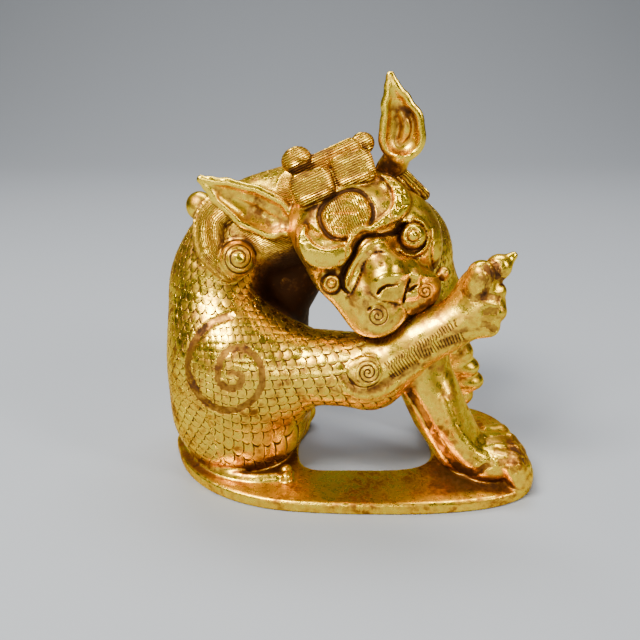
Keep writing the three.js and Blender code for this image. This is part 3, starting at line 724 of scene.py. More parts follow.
PAW_CREASES = [smooth_path(rows) for rows in (
    [(26.5, -0.7), (28, -4.3), (26.5, -7.7), (25, -9.2)],
    [(21, -6.6), (23.6, -9), (27.5, -8.7), (30.4, -9.4)],
    [(29.5, -0.3), (29.3, -3.3), (31.4, -5.4)],
    [(26, -12.6), (28, -12), (30, -12.4)],
    [(25.4, -15), (27.6, -15.6), (29.6, -16.8)],
    [(26.5, -42.8), (31.4, -42.1), (36, -42.9)],
    [(28.5, -44.8), (32.4, -45.3), (37, -45.2)],
    [(29.5, -48.1), (33.4, -47.3), (37.4, -47.7)],
    [(31.9, -42.4), (33.4, -45.1), (32.9, -47.1), (33.9, -50.6)],
)]


def curl_places(seen, curls):
    """Each point's place from the centre of its curl, in windings, and how far it is on the curl."""
    place = np.zeros((len(seen), 2))
    on_curl = np.zeros(len(seen))
    for centre, pitch, radius, hand, start in curls:
        off = (seen - centre) / pitch
        c, s = math.cos(2 * math.pi * start), math.sin(2 * math.pi * start)
        off = np.column_stack([hand * (off[:, 0] * c - off[:, 1] * s), off[:, 0] * s + off[:, 1] * c])
        away = length_of(off) * pitch
        near = away < radius + 2
        place[near] = off[near]
        on_curl = np.maximum(on_curl, smooth_step(radius + 0.35, radius - 0.15, away))
    return place, on_curl


def signed_gap(plan, path):
    """Distance to a path in the plane, negative on its left, and one where it runs alongside."""
    path = np.asarray(path, float)
    gap, along = line_gap(plan, path, 3)
    near = np.flatnonzero(gap < 3)
    side = np.ones(len(plan))
    closest = np.full(len(near), np.inf)
    for a, b in zip(path, path[1:]):
        d = plan[near] - a
        line = b - a
        t = np.clip(d @ line / (line @ line), 0, 1)
        away = length_of(d - t[:, None] * line)
        nearer = away < closest
        closest = np.where(nearer, away, closest)
        left = line[0] * d[:, 1] - line[1] * d[:, 0] > 0
        side[near] = np.where(nearer, np.where(left, -1, 1), side[near])
    total = np.linalg.norm(np.diff(path, axis=0), axis=1).sum()
    return gap * side, along, (gap < 3) * smooth_step(0, 0.2, along) * smooth_step(0, 0.2, total - along)


def front_mask(points, slope, deepest):
    """One where the surface faces the viewer and isn't further back than the depth."""
    facing = -slope[:, 1] * math.cos(math.radians(VIEW_TILT)) + slope[:, 2] * math.sin(math.radians(VIEW_TILT))
    return smooth_step(0.05, 0.3, facing) * (points[:, 1] < deepest)


lock_course = Course(lock_stations, (0, -1, 0))
STRAND_PITCH = 0.56


# the inside of the arch, painted dark as shade over the dark patina there
ARCH_MIDDLE = np.array([-9, 2, 46])
ARCH_HALF = np.array([17, 15, 17])


def arch_painted_shade(points, slope):
    """One on what faces the middle of the arch from close by."""
    to_middle = (ARCH_MIDDLE - points) / ARCH_HALF
    away = length_of(to_middle)
    facing = np.einsum("ij,ij->i", to_middle, slope) / np.maximum(away, 0.01) * ARCH_HALF.mean()
    turned_in = np.maximum(smooth_step(0.05, 0.4, facing), smooth_step(0.85, 0.6, away))
    return smooth_step(1.5, 0.95, away) * turned_in * (points[:, 1] > -6)


def chase_body(points, slope):
    """Height of the chasing at each point of the body, and what its finish reads."""
    along, turn = trunk_course.lay(points)
    row, column, seam = scale_lay(points, along, turn)
    height, edge = scale_height(row, column)
    coats = body.coats(points)
    scales = smooth_step(0.1, 0.9, coats["scales"]) * seam
    front = front_mask(points, slope, 4)
    seen = seen_from_front(points)
    curl_side, curl_along, beside = signed_gap(seen, HAUNCH_CURL)
    curl = np.abs(curl_side)
    haunch = front * (points[:, 0] < -19)
    # the curl's outer arc is a broad channel, its inner ring a narrow one
    half_width = np.interp(curl_along, [0, 24, 40], [0.31, 0.27, 0.18])
    big_groove = groove_profile(curl, half_width) * haunch
    cut_side = curl_side / half_width
    strength = np.full(len(points), 0.5)
    cut_mask = beside * haunch * smooth_step(1.25, 1, curl)
    disc = length_of((seen - HOCK_DISC_CENTRE) / HOCK_DISC_HALF)
    on_disc = smooth_step(1.04, 0.98, disc) * front
    scales = scales * (1 - smooth_step(1.1, 0.5, curl / half_width) * haunch) * (1 - on_disc)
    scales = scales * (1 - arch_painted_shade(points, slope))
    relief = scales * (SCALE_RISE * (height - 0.5) - SCALE_GROOVE * groove_profile(edge, 0.2))
    relief -= 0.8 * half_width * big_groove
    relief += 0.1 * groove_profile(curl - 2 * half_width, 0.4) * haunch

    hair = smooth_step(0, 0.7, coats["hair"])
    lock = smooth_step(0, 0.4, coats["lock"])
    curl_coat = smooth_step(0, 0.4, coats["curl"])
    _, lock_turn = lock_course.lay(points)
    strand = np.where(lock > 0.5, lock_turn * 4.4, turn * 15) / STRAND_PITCH
    # the mane's curl winds round a smooth bead
    bead = smooth_step(1.5, 1.1, length_of(seen - MANE_CURL[0])) * curl_coat
    combed = np.maximum(hair, lock)
    relief += 0.5 * bead * front
    curl_place, on_curl = curl_places(seen, [MANE_CURL, HOCK_CURL])
    on_curl = on_curl * front * np.maximum(curl_coat, on_disc) * (1 - bead)
    rim = (disc - 1.02) * HOCK_DISC_HALF[0]
    lines = [(rim, front * smooth_step(1.1, 0.9, np.abs(rim)), 0.2)]
    relief += 0.15 * on_disc - 0.15 * groove_profile(rim, 0.25) * front
    channel_gap, _ = line_gap(seen, KNEE_CHANNEL, 3)
    band_away, _ = line_gap(seen, KNEE_BAND, 3)
    channel = groove_profile(channel_gap, 0.4) * front * (points[:, 1] < -8)
    relief -= 0.45 * channel
    relief += 0.3 * groove_profile(band_away, 0.6) * front * (points[:, 1] < -8)
    scales = scales * (1 - smooth_step(1.2, 0.8, band_away) * front)
    relief += 0.12 * combed * (np.abs(2 * (strand % 1) - 1) - 0.5)

    hatch = np.zeros(len(points))
    hatch_along = np.zeros(len(points))
    for path in HATCH_ROWS:
        gap, along = line_gap(seen, path, 3)
        nearer = smooth_step(0.85, 0.45, gap) * front * smooth_step(0, 0.3, along)
        hatch_along = np.where(gap < 2, along / HATCH_PITCH, hatch_along)
        hatch = np.maximum(hatch, nearer)
    leg_front = front * (points[:, 0] > 10) * (points[:, 2] < 30)
    leg_gap, _ = line_gap(seen, LEG_GROOVE, 4)
    ridge_gap, _ = line_gap(seen, LEG_RIDGE, 4)
    leg_groove = groove_profile(leg_gap, 0.5) * leg_front
    relief -= 0.35 * leg_groove
    side, _, beside = signed_gap(seen, LEG_GROOVE)
    lines.append((side, beside * leg_front * smooth_step(1.1, 0.9, np.abs(side)), 0.26))
    for path in PAW_CREASES:
        side, _, beside = signed_gap(seen, path)
        lines.append((side, beside * front * smooth_step(1.1, 0.9, np.abs(side)), 0.2))
        relief -= 0.22 * groove_profile(side, 0.4) * beside * front
    for side, mask, width in lines:
        nearer = mask * np.exp(-np.abs(side)) > cut_mask * np.exp(-np.abs(cut_side) / 3)
        cut_side = np.where(nearer, side / width, cut_side)
        strength = np.where(nearer, 0.55, strength)
        cut_mask = np.where(nearer, mask, cut_mask)
    relief += 0.5 * groove_profile(ridge_gap, 0.7) * leg_front
    carved = np.maximum.reduce([0.2 * big_groove, 0.2 * leg_groove, 0.4 * channel])
    drawn = {
        "lay": (row, column, scales), "strand": (strand, combed, carved),
        "curl": (*curl_place.T, on_curl), "hatch": (hatch_along, hatch, bead),
        "engraving": (cut_side, cut_mask, strength),
    }
    return relief, drawn


def sample_hollows(wax, points, slope):
    """How far each point lies in a hollow, and how far on an edge, from 0 to 1."""
    hollow = np.zeros(len(points))
    for reach, weight in ((1, 0.35), (2.6, 0.35), (6, 0.3)):
        open_air = wax.depth(points + slope * reach)
        hollow += weight * np.clip(1 - open_air / reach, 0, 1)
    under = wax.depth(points - slope * 1.2)
    edge = np.clip(1 + under / 1.2, 0, 1)
    return hollow, edge


def one_skin(points, slope, faces):
    """The largest connected surface alone, without crumbs or bubbles of a cell or two."""
    lowest = np.arange(len(points))
    settled = False
    while not settled:
        before = lowest
        least = before[faces].min(1)
        lowest = before.copy()
        for corner in faces.T:
            np.minimum.at(lowest, corner, least)
        lowest = lowest[lowest]
        settled = (lowest == before).all()
    kept = lowest == np.bincount(lowest).argmax()
    number = np.cumsum(kept) - 1
    return points[kept], slope[kept], number[faces[kept[faces[:, 0]]]]


def walked_piece(name, wax, low, high, cell, chase, triangles, others, relief=None):
    """Walks a wax's surface, lays the chasing on it, thins it and stores what its finish reads."""
    points, slope, faces = one_skin(*walk_surface(wax, low, high, cell, relief))
    raised = chase(points, slope)[0]
    mesh = bpy.data.meshes.new(name)
    placed = (points + slope * raised[:, None] + WAX_TO_FRAME) * MM
    # the underside is filed flat
    placed[:, 2] = np.maximum(placed[:, 2], 0)
    mesh.vertices.add(len(points))
    mesh.vertices.foreach_set("co", placed.astype(np.float32).ravel())
    mesh.loops.add(faces.size)
    mesh.loops.foreach_set("vertex_index", faces.astype(np.int32).ravel())
    mesh.polygons.add(len(faces))
    mesh.polygons.foreach_set("loop_start", np.arange(len(faces), dtype=np.int32) * 4)
    mesh.update(calc_edges=True)
    raw = bpy.data.objects.new(name + "_raw", mesh)
    bpy.context.scene.collection.objects.link(raw)
    thinning = raw.modifiers.new("thinning", "DECIMATE")
    thinning.ratio = min(1, triangles / (2 * len(faces)))
    evaluated = raw.evaluated_get(bpy.context.evaluated_depsgraph_get())
    thin = bpy.data.meshes.new_from_object(evaluated)
    bpy.data.objects.remove(raw)
    thin.name = name
    thin.shade_smooth()
    piece = bpy.data.objects.new(name, thin)
    bpy.context.scene.collection.objects.link(piece)

    places = np.empty(len(thin.vertices) * 3, np.float32)
    thin.vertices.foreach_get("co", places)
    points = places.reshape(-1, 3) / MM - WAX_TO_FRAME
    normals = np.empty(len(thin.vertices) * 3, np.float32)
    thin.vertex_normals.foreach_get("vector", normals)
    slope = normals.reshape(-1, 3)
    _, drawn = chase(points, slope)
    hollow, edge = sample_hollows(wax, points, slope)
    # painted shade where another piece lies close by, added to the hollows
    for other in others:
        near = other.depth(points + slope * 1.5)
        hollow = np.maximum(hollow, np.clip(1 - near / 3, 0, 1))
    drawn["tone"] = (hollow, edge, arch_painted_shade(points, slope))
    for label, columns in drawn.items():
        layer = thin.attributes.new(label, "FLOAT_VECTOR", "POINT")
        layer.data.foreach_set("vector", np.column_stack(columns).astype(np.float32).ravel())
    return piece


BODY_TRIANGLES = 190000
# fine cells are walked for the body
BODY_CELL = 0.48
body_piece = walked_piece(
    "qilin_body", body, (-55, -30, -4), (55, 31, 108), BODY_CELL, chase_body, BODY_TRIANGLES, [])



def gilding():
    """Fire gilding over bronze: rubbed bright on the edges, with painted highlights on the scales and beside the cuts;
    brown patina in cuts and hollows, with painted shade in deep hollows, where parts meet and inside the arch, and a
    painted orange glow low down.
    """
    made = bpy.data.materials.new("gilt_bronze")
    made.use_nodes = True
    tree = made.node_tree
    shader = tree.nodes["Principled BSDF"]

    def value(operation, *parts, clamp=False):
        return node_in(tree, "ShaderNodeMath", enumerate(parts), operation=operation, use_clamp=clamp).outputs[0]

    def times(*parts):
        product = parts[0]
        for part in parts[1:]:
            product = value("MULTIPLY", product, part)
        return product

    def between(low, high, amount):
        ends = {"Value": amount, "From Min": low, "From Max": high}
        return node_in(tree, "ShaderNodeMapRange", ends, interpolation_type="SMOOTHSTEP").outputs["Result"]

    def stored(label):
        source = node_in(tree, "ShaderNodeAttribute", attribute_name=label).outputs["Vector"]
        return node_in(tree, "ShaderNodeSeparateXYZ", {"Vector": source}).outputs

    place = node_in(tree, "ShaderNodeTexCoord").outputs["Object"]

    def grain(per_metre, detail, roughness=0.55):
        settings = {"Vector": place, "Scale": per_metre, "Detail": detail, "Roughness": roughness}
        return node_in(tree, "ShaderNodeTexNoise", settings).outputs["Fac"]

    row, column, scales = stored("lay")
    strand, combed, carved = stored("strand")
    # the tone holds the hollows, the rubbed edges and the painted shade inside the arch
    hollow, edge, inner = stored("tone")
    curl_x, curl_y, on_curl = stored("curl")
    hatch_along, hatch, _ = stored("hatch")
    cut_side, engraved, strength = stored("engraving")
    patches = grain(150, 5)
    mottle = grain(560, 5, 0.62)
    fine = grain(2600, 3, 0.6)

    # the scales again, sharper than the mesh can hold: a dark cut outside each free edge
    # and a painted highlight, a bright crescent, just inside it
    step = value("FLOOR", row)
    ahead = value("FRACT", row)
    shifted = value("SUBTRACT", column, value("FRACT", value("MULTIPLY", step, 0.5)))
    across = value("SUBTRACT", shifted, value("ROUND", shifted))
    spread = value("SQRT", value("ADD", times(ahead, ahead), times(across, across, 4)))
    outside = between(0.96, 1.02, spread)
    cut = times(scales, outside, between(1.2, 1.08, spread))
    crescent_highlight = times(scales, between(0.78, 0.92, spread), value("SUBTRACT", 1, outside))
    tile = value("SUBTRACT", value("MULTIPLY", ahead, 0.5), value("MULTIPLY", outside, 0.5))
    # each scale took the light and the wear a little differently
    owner = value("ADD", step, value("GREATER_THAN", spread, 1))
    placed = value("SUBTRACT", column, value("FRACT", value("MULTIPLY", owner, 0.5)))
    own_column = value("ROUND", placed)
    scale_name = node_in(tree, "ShaderNodeCombineXYZ", {"X": owner, "Y": own_column}).outputs["Vector"]
    chance = node_in(tree, "ShaderNodeTexWhiteNoise", {"Vector": scale_name}, noise_dimensions="3D")
    luck = value("SUBTRACT", chance.outputs["Value"], 0.5)
    lean = times(luck, value("SUBTRACT", placed, own_column), scales)
    ridge = value("ABSOLUTE", value("SUBTRACT", value("FRACT", strand), 0.5))
    ridge = value("MULTIPLY", ridge, 2)
    valley = times(combed, between(0.55, 0.15, ridge))
    # curls: one cut winds in to the middle, with finer combing beside it
    far_out = value("SQRT", value("ADD", times(curl_x, curl_x), times(curl_y, curl_y)))
    turn = value("DIVIDE", value("ARCTAN2", curl_y, curl_x), 2 * math.pi)
    wound = value("ADD", far_out, turn)
    from_cut = value("ABSOLUTE", value("SUBTRACT", value("FRACT", wound), 0.5))
    winding = times(on_curl, between(0.25, 0.1, from_cut))
    from_comb = value("ABSOLUTE", value("SUBTRACT", value("FRACT", value("MULTIPLY", wound, 3)), 0.5))
    combing = times(on_curl, between(0.3, 0.05, from_comb))
    from_line = value("ABSOLUTE", cut_side)
    line = times(engraved, strength, between(0.95, 0.3, from_line))
    # a painted highlight on the rims beside each cut line
    line_rim_highlight = times(engraved, between(1, 1.4, from_line), between(2.2, 1.7, from_line))
    # short slanted punch marks in rows along the shank
    from_mark = value("ABSOLUTE", value("SUBTRACT", value("FRACT", hatch_along), 0.5))
    marks = times(between(0.35, 0.7, hatch), between(0.26, 0.1, from_mark))

    uneven = value("MULTIPLY", value("SUBTRACT", patches, 0.5), 0.7)
    # brown patina in the hollows, and painted shade where they are deep or where parts meet
    deep_patina_and_shade = between(0.14, 0.62, value("ADD", hollow, uneven))
    stains = times(between(0.46, 0.64, patches), between(0.36, 0.58, mottle))
    # how dark the gilding is: patina in cuts and hollows, stains and mottling, and painted shade; less where rubbed or
    # given painted highlights
    tarnish_and_painted_shade = value("ADD", times(cut, 0.85), times(valley, 0.54))
    tarnish_and_painted_shade = value("ADD", tarnish_and_painted_shade, times(line, 0.55))
    tarnish_and_painted_shade = value("ADD", tarnish_and_painted_shade, times(winding, 0.7))
    tarnish_and_painted_shade = value("ADD", tarnish_and_painted_shade, times(combing, 0.16))
    tarnish_and_painted_shade = value("ADD", tarnish_and_painted_shade, times(marks, 0.6))
    tarnish_and_painted_shade = value("ADD", tarnish_and_painted_shade, times(carved, 0.75))
    tarnish_and_painted_shade = value("ADD", tarnish_and_painted_shade, times(deep_patina_and_shade, 0.58))
    # painted shade inside the arch, over its dark patina
    tarnish_and_painted_shade = value("ADD", tarnish_and_painted_shade, times(inner, 0.95))
    tarnish_and_painted_shade = value("ADD", tarnish_and_painted_shade, times(stains, 0.38))
    tarnish_and_painted_shade = value("ADD", tarnish_and_painted_shade, times(luck, scales, 0.2))
    tarnish_and_painted_shade = value("ADD", tarnish_and_painted_shade, 0.03)
    tarnish_and_painted_shade = value("ADD", tarnish_and_painted_shade, value("MULTIPLY", value("SUBTRACT", mottle, 0.44), 1))
    # rubbed edges are worn bright; the crescents and line rims are painted highlights
    rubbed_and_highlit = value("ADD", times(between(0.15, 0.55, edge), 0.3), times(crescent_highlight, 0.24))
    rubbed_and_highlit = value("ADD", rubbed_and_highlit, times(line_rim_highlight, 0.25))
    tarnish_and_painted_shade = value("SUBTRACT", tarnish_and_painted_shade, rubbed_and_highlit, clamp=True)

    ramp = tree.nodes.new("ShaderNodeValToRGB")
    tree.links.new(tarnish_and_painted_shade, ramp.inputs["Fac"])
    stops = ramp.color_ramp.elements
    stops[0].position, stops[0].color = 0, GOLD_RUBBED_AND_HIGHLIT
    stops[1].position, stops[1].color = 1, BROWN_DEEPEST
    for position, colour in ((0.16, GOLD), (0.42, AMBER), (0.68, RED_BROWN)):
        stop = stops.new(position)
        stop.color = colour

    # a painted orange glow on the low parts, in patches
    height = node_in(tree, "ShaderNodeSeparateXYZ", {"Vector": place}).outputs["Z"]
    low = times(between(0.05, 0.014, height), between(0.38, 0.62, patches), 0.6)
    orange_glow_mix = node_in(tree, "ShaderNodeMix", data_type="RGBA", blend_type="MULTIPLY")
    tree.links.new(low, orange_glow_mix.inputs["Factor"])
    tree.links.new(ramp.outputs["Color"], orange_glow_mix.inputs["A"])
    orange_glow_mix.inputs["B"].default_value = PAINTED_ORANGE_GLOW
    colour = next(out for out in orange_glow_mix.outputs if out.type == "RGBA")

    tree.links.new(colour, shader.inputs["Base Color"])
    rough = value("ADD", 0.25, times(tarnish_and_painted_shade, 0.36))
    rough = value("ADD", rough, value("MULTIPLY", value("SUBTRACT", mottle, 0.45), 0.3))
    rough = value("ADD", rough, times(luck, scales, 0.1))
    tree.links.new(rough, shader.inputs["Roughness"])
    tree.links.new(value("SUBTRACT", 1, times(between(0.55, 1, tarnish_and_painted_shade), 0.6)), shader.inputs["Metallic"])
    shader.inputs["Specular IOR Level"].default_value = 0.25
    shader.inputs["Specular Tint"].default_value = EDGE_GOLD

    relief = value("ADD", times(tile, scales, TILE_HEIGHT), times(cut, -CUT_DEPTH))
    relief = value("ADD", relief, times(lean, SCALE_LEAN))
    relief = value("SUBTRACT", relief, times(line, 0.14))
    relief = value("SUBTRACT", relief, times(winding, 0.2))
    relief = value("SUBTRACT", relief, times(combing, 0.04))
    relief = value("SUBTRACT", relief, times(marks, 0.14))
    relief = value("ADD", relief, times(ridge, combed, STRAND_HEIGHT))
    relief = value("ADD", relief, times(mottle, 0.1))
    relief = value("ADD", relief, times(fine, 0.012))
    bump = node_in(tree, "ShaderNodeBump", {"Height": relief, "Distance": MM, "Strength": 1})
    tree.links.new(bump.outputs["Normal"], shader.inputs["Normal"])
    return made


# the ramp's brightest gold, for rubbed edges and painted highlights
GOLD_RUBBED_AND_HIGHLIT = (1, 0.7, 0.04, 1)
GOLD = (0.88, 0.54, 0.03, 1)
AMBER = (0.46, 0.23, 0.03, 1)
RED_BROWN = (0.18, 0.07, 0.016, 1)
BROWN_DEEPEST = (0.045, 0.016, 0.006, 1)
EDGE_GOLD = (1, 0.8, 0.4, 1)
# the painted orange glow's colour
PAINTED_ORANGE_GLOW = (1, 0.76, 0.3, 1)
# millimetres
TILE_HEIGHT = 0.16
CUT_DEPTH = 0.12
SCALE_LEAN = 0.14
STRAND_HEIGHT = 0.22
gilt = gilding()
body_piece.data.materials.append(gilt)

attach(body_piece, "root")
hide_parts("figure")

# The head: skull, muzzle, brows, eyes, hair rolls and ears.
# It is part of the same casting and is only meshed by itself, finer than the body. It
# runs into the mane behind; its forms are given on the head's own axes, the hair rolls on the viewer's and the ears on
# the body's.

HEAD_ROLL = 30
HEAD_YAW = 16
HEAD_PITCH = 20
SKULL_WIDTH = 30


def head_axes():
    """The head's right, up and forward, turned from the viewer's sight line."""
    tilt = math.radians(VIEW_TILT)
    right = np.array([1.0, 0, 0])
    up = np.array([0, math.sin(tilt), math.cos(tilt)])
    forward = np.cross(right, up)

    def turned(a, b, degrees):
        c, s = math.cos(math.radians(degrees)), math.sin(math.radians(degrees))
        return a * c + b * s, b * c - a * s

    right, up = turned(right, up, HEAD_ROLL)
    forward, right = turned(forward, right, HEAD_YAW)
    up, forward = turned(up, forward, HEAD_PITCH)
    return np.array([right, up, forward])


HEAD_AXES = head_axes()


def on_head(*place):
    return EYES_MIDDLE + np.array(place) @ HEAD_AXES


def head_coordinates(points):
    return (points - EYES_MIDDLE) @ HEAD_AXES.T


def head_ball(place, radii):
    return ellipsoid(on_head(*place), radii, HEAD_AXES)


def head_limb(stations, steps=1):
    """A limb through rows of x, y, z and radius on the head's axes."""
    rows = np.asarray(stations, float)
    rows = smooth_path(rows, steps) if steps > 1 else rows
    return limb([on_head(*row[:3]) for row in rows], rows[:, 3])


def head_block(place, half_sizes, rounding, turn=0):
    """A rounded block on the head's axes, turned in its own face plane by some degrees."""
    centre = on_head(*place).astype(np.float32)
    c, s = math.cos(math.radians(turn)), math.sin(math.radians(turn))
    axes = np.array([[c, s, 0], [-s, c, 0], [0, 0, 1]]) @ HEAD_AXES
    to_axes = axes.T.astype(np.float32)
    inner = np.asarray(half_sizes, np.float32) - rounding

    def distance(points):
        q = np.abs((points - centre) @ to_axes) - inner
        return length_of(np.maximum(q, 0)) + np.minimum(q.max(1), 0) - rounding

    return centre, float(np.linalg.norm(half_sizes)), distance


def head_strap(stations, flatness, steps=4):
    """A band that lies on the face: a limb pressed flat towards the skull."""
    rows = smooth_path(stations, steps)
    squeeze = np.array([1, 1, flatness], np.float32)
    _, _, chain = limb(rows[:, :3] * squeeze, rows[:, 3])
    centre = on_head(*rows[:, :3].mean(0)).astype(np.float32)
    reach = float(np.linalg.norm(rows[:, :3] - rows[:, :3].mean(0), axis=1).max() + rows[:, 3].max())
    to_head = HEAD_AXES.T.astype(np.float32)
    origin = EYES_MIDDLE.astype(np.float32)

    def distance(points):
        return chain(((points - origin) @ to_head) * squeeze) / math.sqrt(flatness)

    return centre, reach, distance


head = Wax()


def skull():
    half = SKULL_WIDTH / 2
    head.add(head_ball((0.4, 9, -6), (half - 0.6, 14, 12)), 3)
    head.add(head_ball((12.6, -0.6, -7), (9.8, 12.6, 10.6)), 3)
    head.add(head_ball((-7.4, 0.6, -4), (6.4, 7.4, 8)), 3)


def muzzle():
    # a blocky snout that widens from the bridge to the lip pads, with the jaw behind it
    head.add(head_ball((0.6, -10, -4), (11, 8, 8)), 3)
    head.add(head_block((-0.8, -8, 1.6), (9.4, 7, 6.4), 4), 3)
    head.add(head_limb([(-1.4, 3, 4.4, 3.6), (-0.8, -2, 6, 5)]), 3)
    head.add(head_limb([(-10.4, -1, -1, 3), (-8.8, -7.6, 0, 3.4), (-8, -11.4, 1.4, 3.6)]), 3)
    # the two lip pads, and the corner of the jaw
    head.add(head_ball((-4.6, -11.4, 4), (5.6, 5, 4.6)), 2.4)
    head.add(head_ball((6.4, -11.6, 3), (6.4, 5, 4.6)), 2.4)
    head.add(head_ball((15.2, -11.4, 2.2), (1.9, 1.9, 1.9)), 0.8)
    # the flat front of the nose
    head.add(head_block((-0.4, -5.6, 6), (6, 3.4, 4), 1.6, -22), 1.6)


def brows():
    """The broad brow bands, soft here; the chasing gives them their edges."""
    right = [
        (9, 15, 2.2, 1.2), (10.4, 12.4, 2.8, 2), (9.4, 10.4, 3.8, 2.3), (7, 9.2, 4.6, 2.3),
        (3.8, 8.8, 5.2, 1.9), (0.8, 8.8, 5.6, 1.5),
    ]
    left = [(-12.6, 14, 0.4, 1.4), (-13, 12, 1.2, 2.3), (-12.2, 9.4, 2.2, 2.9), (-10, 8.2, 3.4, 2.9), (-7.6, 8.2, 4.4, 2.4)]
    head.add(head_strap(right, 1.8), 1.8)
    head.add(head_strap(left, 1.6), 1.8)


def eyes():
    head.add(head_ball((10.6, 1.6, 2), (4.2, 4.2, 3.4)), 1.2)
    head.add(head_ball((-11.4, 0.6, 1), (3, 3, 3)), 1)


def sight_block(place, half_sizes, rounding, turn):
    """A rounded block that faces the viewer. Its place is right of, above and before the eyes."""
    tilt = math.radians(VIEW_TILT)
    right = np.array([1, 0, 0])
    up = np.array([0, math.sin(tilt), math.cos(tilt)])
    sight = np.array([right, up, np.cross(right, up)])
    centre = (EYES_MIDDLE + np.array(place) @ sight).astype(np.float32)
    c, s = math.cos(math.radians(turn)), math.sin(math.radians(turn))
    to_axes = (np.array([[c, s, 0], [-s, c, 0], [0, 0, 1]]) @ sight).T.astype(np.float32)
    inner = np.asarray(half_sizes, np.float32) - rounding

    def distance(points):
        q = np.abs((points - centre) @ to_axes) - inner
        return length_of(np.maximum(q, 0)) + np.minimum(q.max(1), 0) - rounding

    return centre, float(np.linalg.norm(half_sizes)), distance


ROLL_TURN = 17
COMB_TURN = 25


def hair():
    """Two combed rolls over the forehead, facing the viewer, and the curls behind them."""
    head.add(sight_block((-14, 15.7, 7), (5, 3.7, 3.9), 2.4, ROLL_TURN), 0.5, "hair")
    head.add(sight_block((-5, 19.9, 6), (5.1, 3.8, 3.9), 2.4, ROLL_TURN), 0.5, "hair")
    head.add(sight_block((-10, 20.6, 2.4), (8.6, 4.6, 4), 2, 25), 1, "hair")
    head.add(head_ball((-5.8, 28, -5), (3.6, 3, 3.2)), 1, "hair")
    head.add(head_ball((11, 24.6, -5), (3, 2.7, 2.8)), 1, "hair")


def ear(stem, stations, depth):
    centre, reach, bowl = leaf(stations, depth, 0)
    mouth = depth - EAR_LIP

    def distance(points):
        inside, ahead = bowl(points), mouth - points[:, 1]
        near = np.maximum(1 - np.abs(inside - ahead), 0)
        return np.maximum(inside, ahead) + near * near / 4

    root = (stations[0][0], depth + 1, stations[0][1])
    head.add(limb([stem, root], [3.8, 3]), 1.5)
    head.add((centre, reach, distance), 0.8)
    head.cut(leaf(stations, mouth, EAR_WALL), 0.5)


def ears():
    right = [(9.4, 86, 2.6), (9.8, 89.6, 5.7), (9.6, 92.8, 5.3), (8.2, 97, 3.8), (7, 101, 2), (6.5, 103.3, 1.1)]
    ear((8, 4, 81), right, -2)
    ear((-14, -4, 71), LEFT_EAR, LEFT_EAR_DEPTH)
    # a flame-like ridge inside each bowl
    head.add(curved_limb([(9.6, 0.6, 88), (10.8, -0.6, 92), (9, -0.6, 96.4)], [1.1, 1.3, 0.5]), 0.8)
    head.add(curved_limb([(-20, -4.6, 72.6), (-25, -4.4, 75.4), (-31, -5.4, 77.6)], [1.2, 1.3, 0.5]), 0.8)


skull()
muzzle()
brows()
eyes()
hair()
ears()

# The face's carving, as the viewer sees it: rows of millimetres right of and above the
# middle of the eyes, with half the width of the band or the cut

BROW_BANDS = [
    [
        (2.2, 20.0, 0.65), (4.1, 18.9, 1.2), (5.8, 17.2, 1.65), (6.9, 15.1, 2.1), (6.9, 13.1, 2.35),
        (5.6, 11.0, 1.95), (3.5, 9.5, 1.6), (1.6, 8.4, 1.3), (-0.1, 7.4, 1.1), (-2.0, 7.5, 1.05),
        (-3.8, 6.4, 1.1), (-5.1, 5.0, 1.1), (-5.7, 3.4, 0.9),
    ],
    [(-15.9, 7.8, 0.9), (-16.5, 5.7, 1.4), (-15.4, 2.8, 2.2), (-13.4, 0.7, 2.9), (-10.6, 0, 2.95), (-8.1, 0.7, 2.7), (-6.4, 1.7, 2.05)],
]
BROW_RISE = 1.5
OVAL_CENTRE = (-6.1, 10.7)
OVAL_HALF = (5.9, 4.85)
OVAL_RISE = 1.3
FACE_RIDGES = [
    # rise, edge, rows
    (0.5, 0.6, [(3.0, 4.7, 0.6), (1.2, 4.6, 0.8), (-0.3, 3.9, 0.85), (-1.6, 2.9, 0.9), (-2.7, 1.4, 0.9), (-3.6, 0, 0.9), (-4.5, -1.5, 0.8), (-5.3, -3.3, 0.75), (-5.9, -4.9, 0.7), (-6.2, -6.3, 0.5)]),
    (0.7, 0.5, [(10.0, 9.9, 0.4), (11.9, 8.9, 0.55), (13.1, 6.9, 0.55), (13.2, 4.5, 0.55), (12.2, 2.5, 0.5), (10.3, 1.3, 0.45), (8.2, 1.4, 0.4), (6.5, 2.6, 0.3)]),
    (0.5, 0.9, [(1.2, -5.2, 0.7), (2.5, -4.2, 0.9), (4.7, -3.8, 1), (6.8, -3.8, 1), (8.1, -3.4, 0.7)]),
    (0.5, 0.8, [(9.6, -3.5, 0.65), (11.5, -3.7, 0.9), (13.8, -3.9, 0.9), (15.6, -3.5, 0.65)]),
]
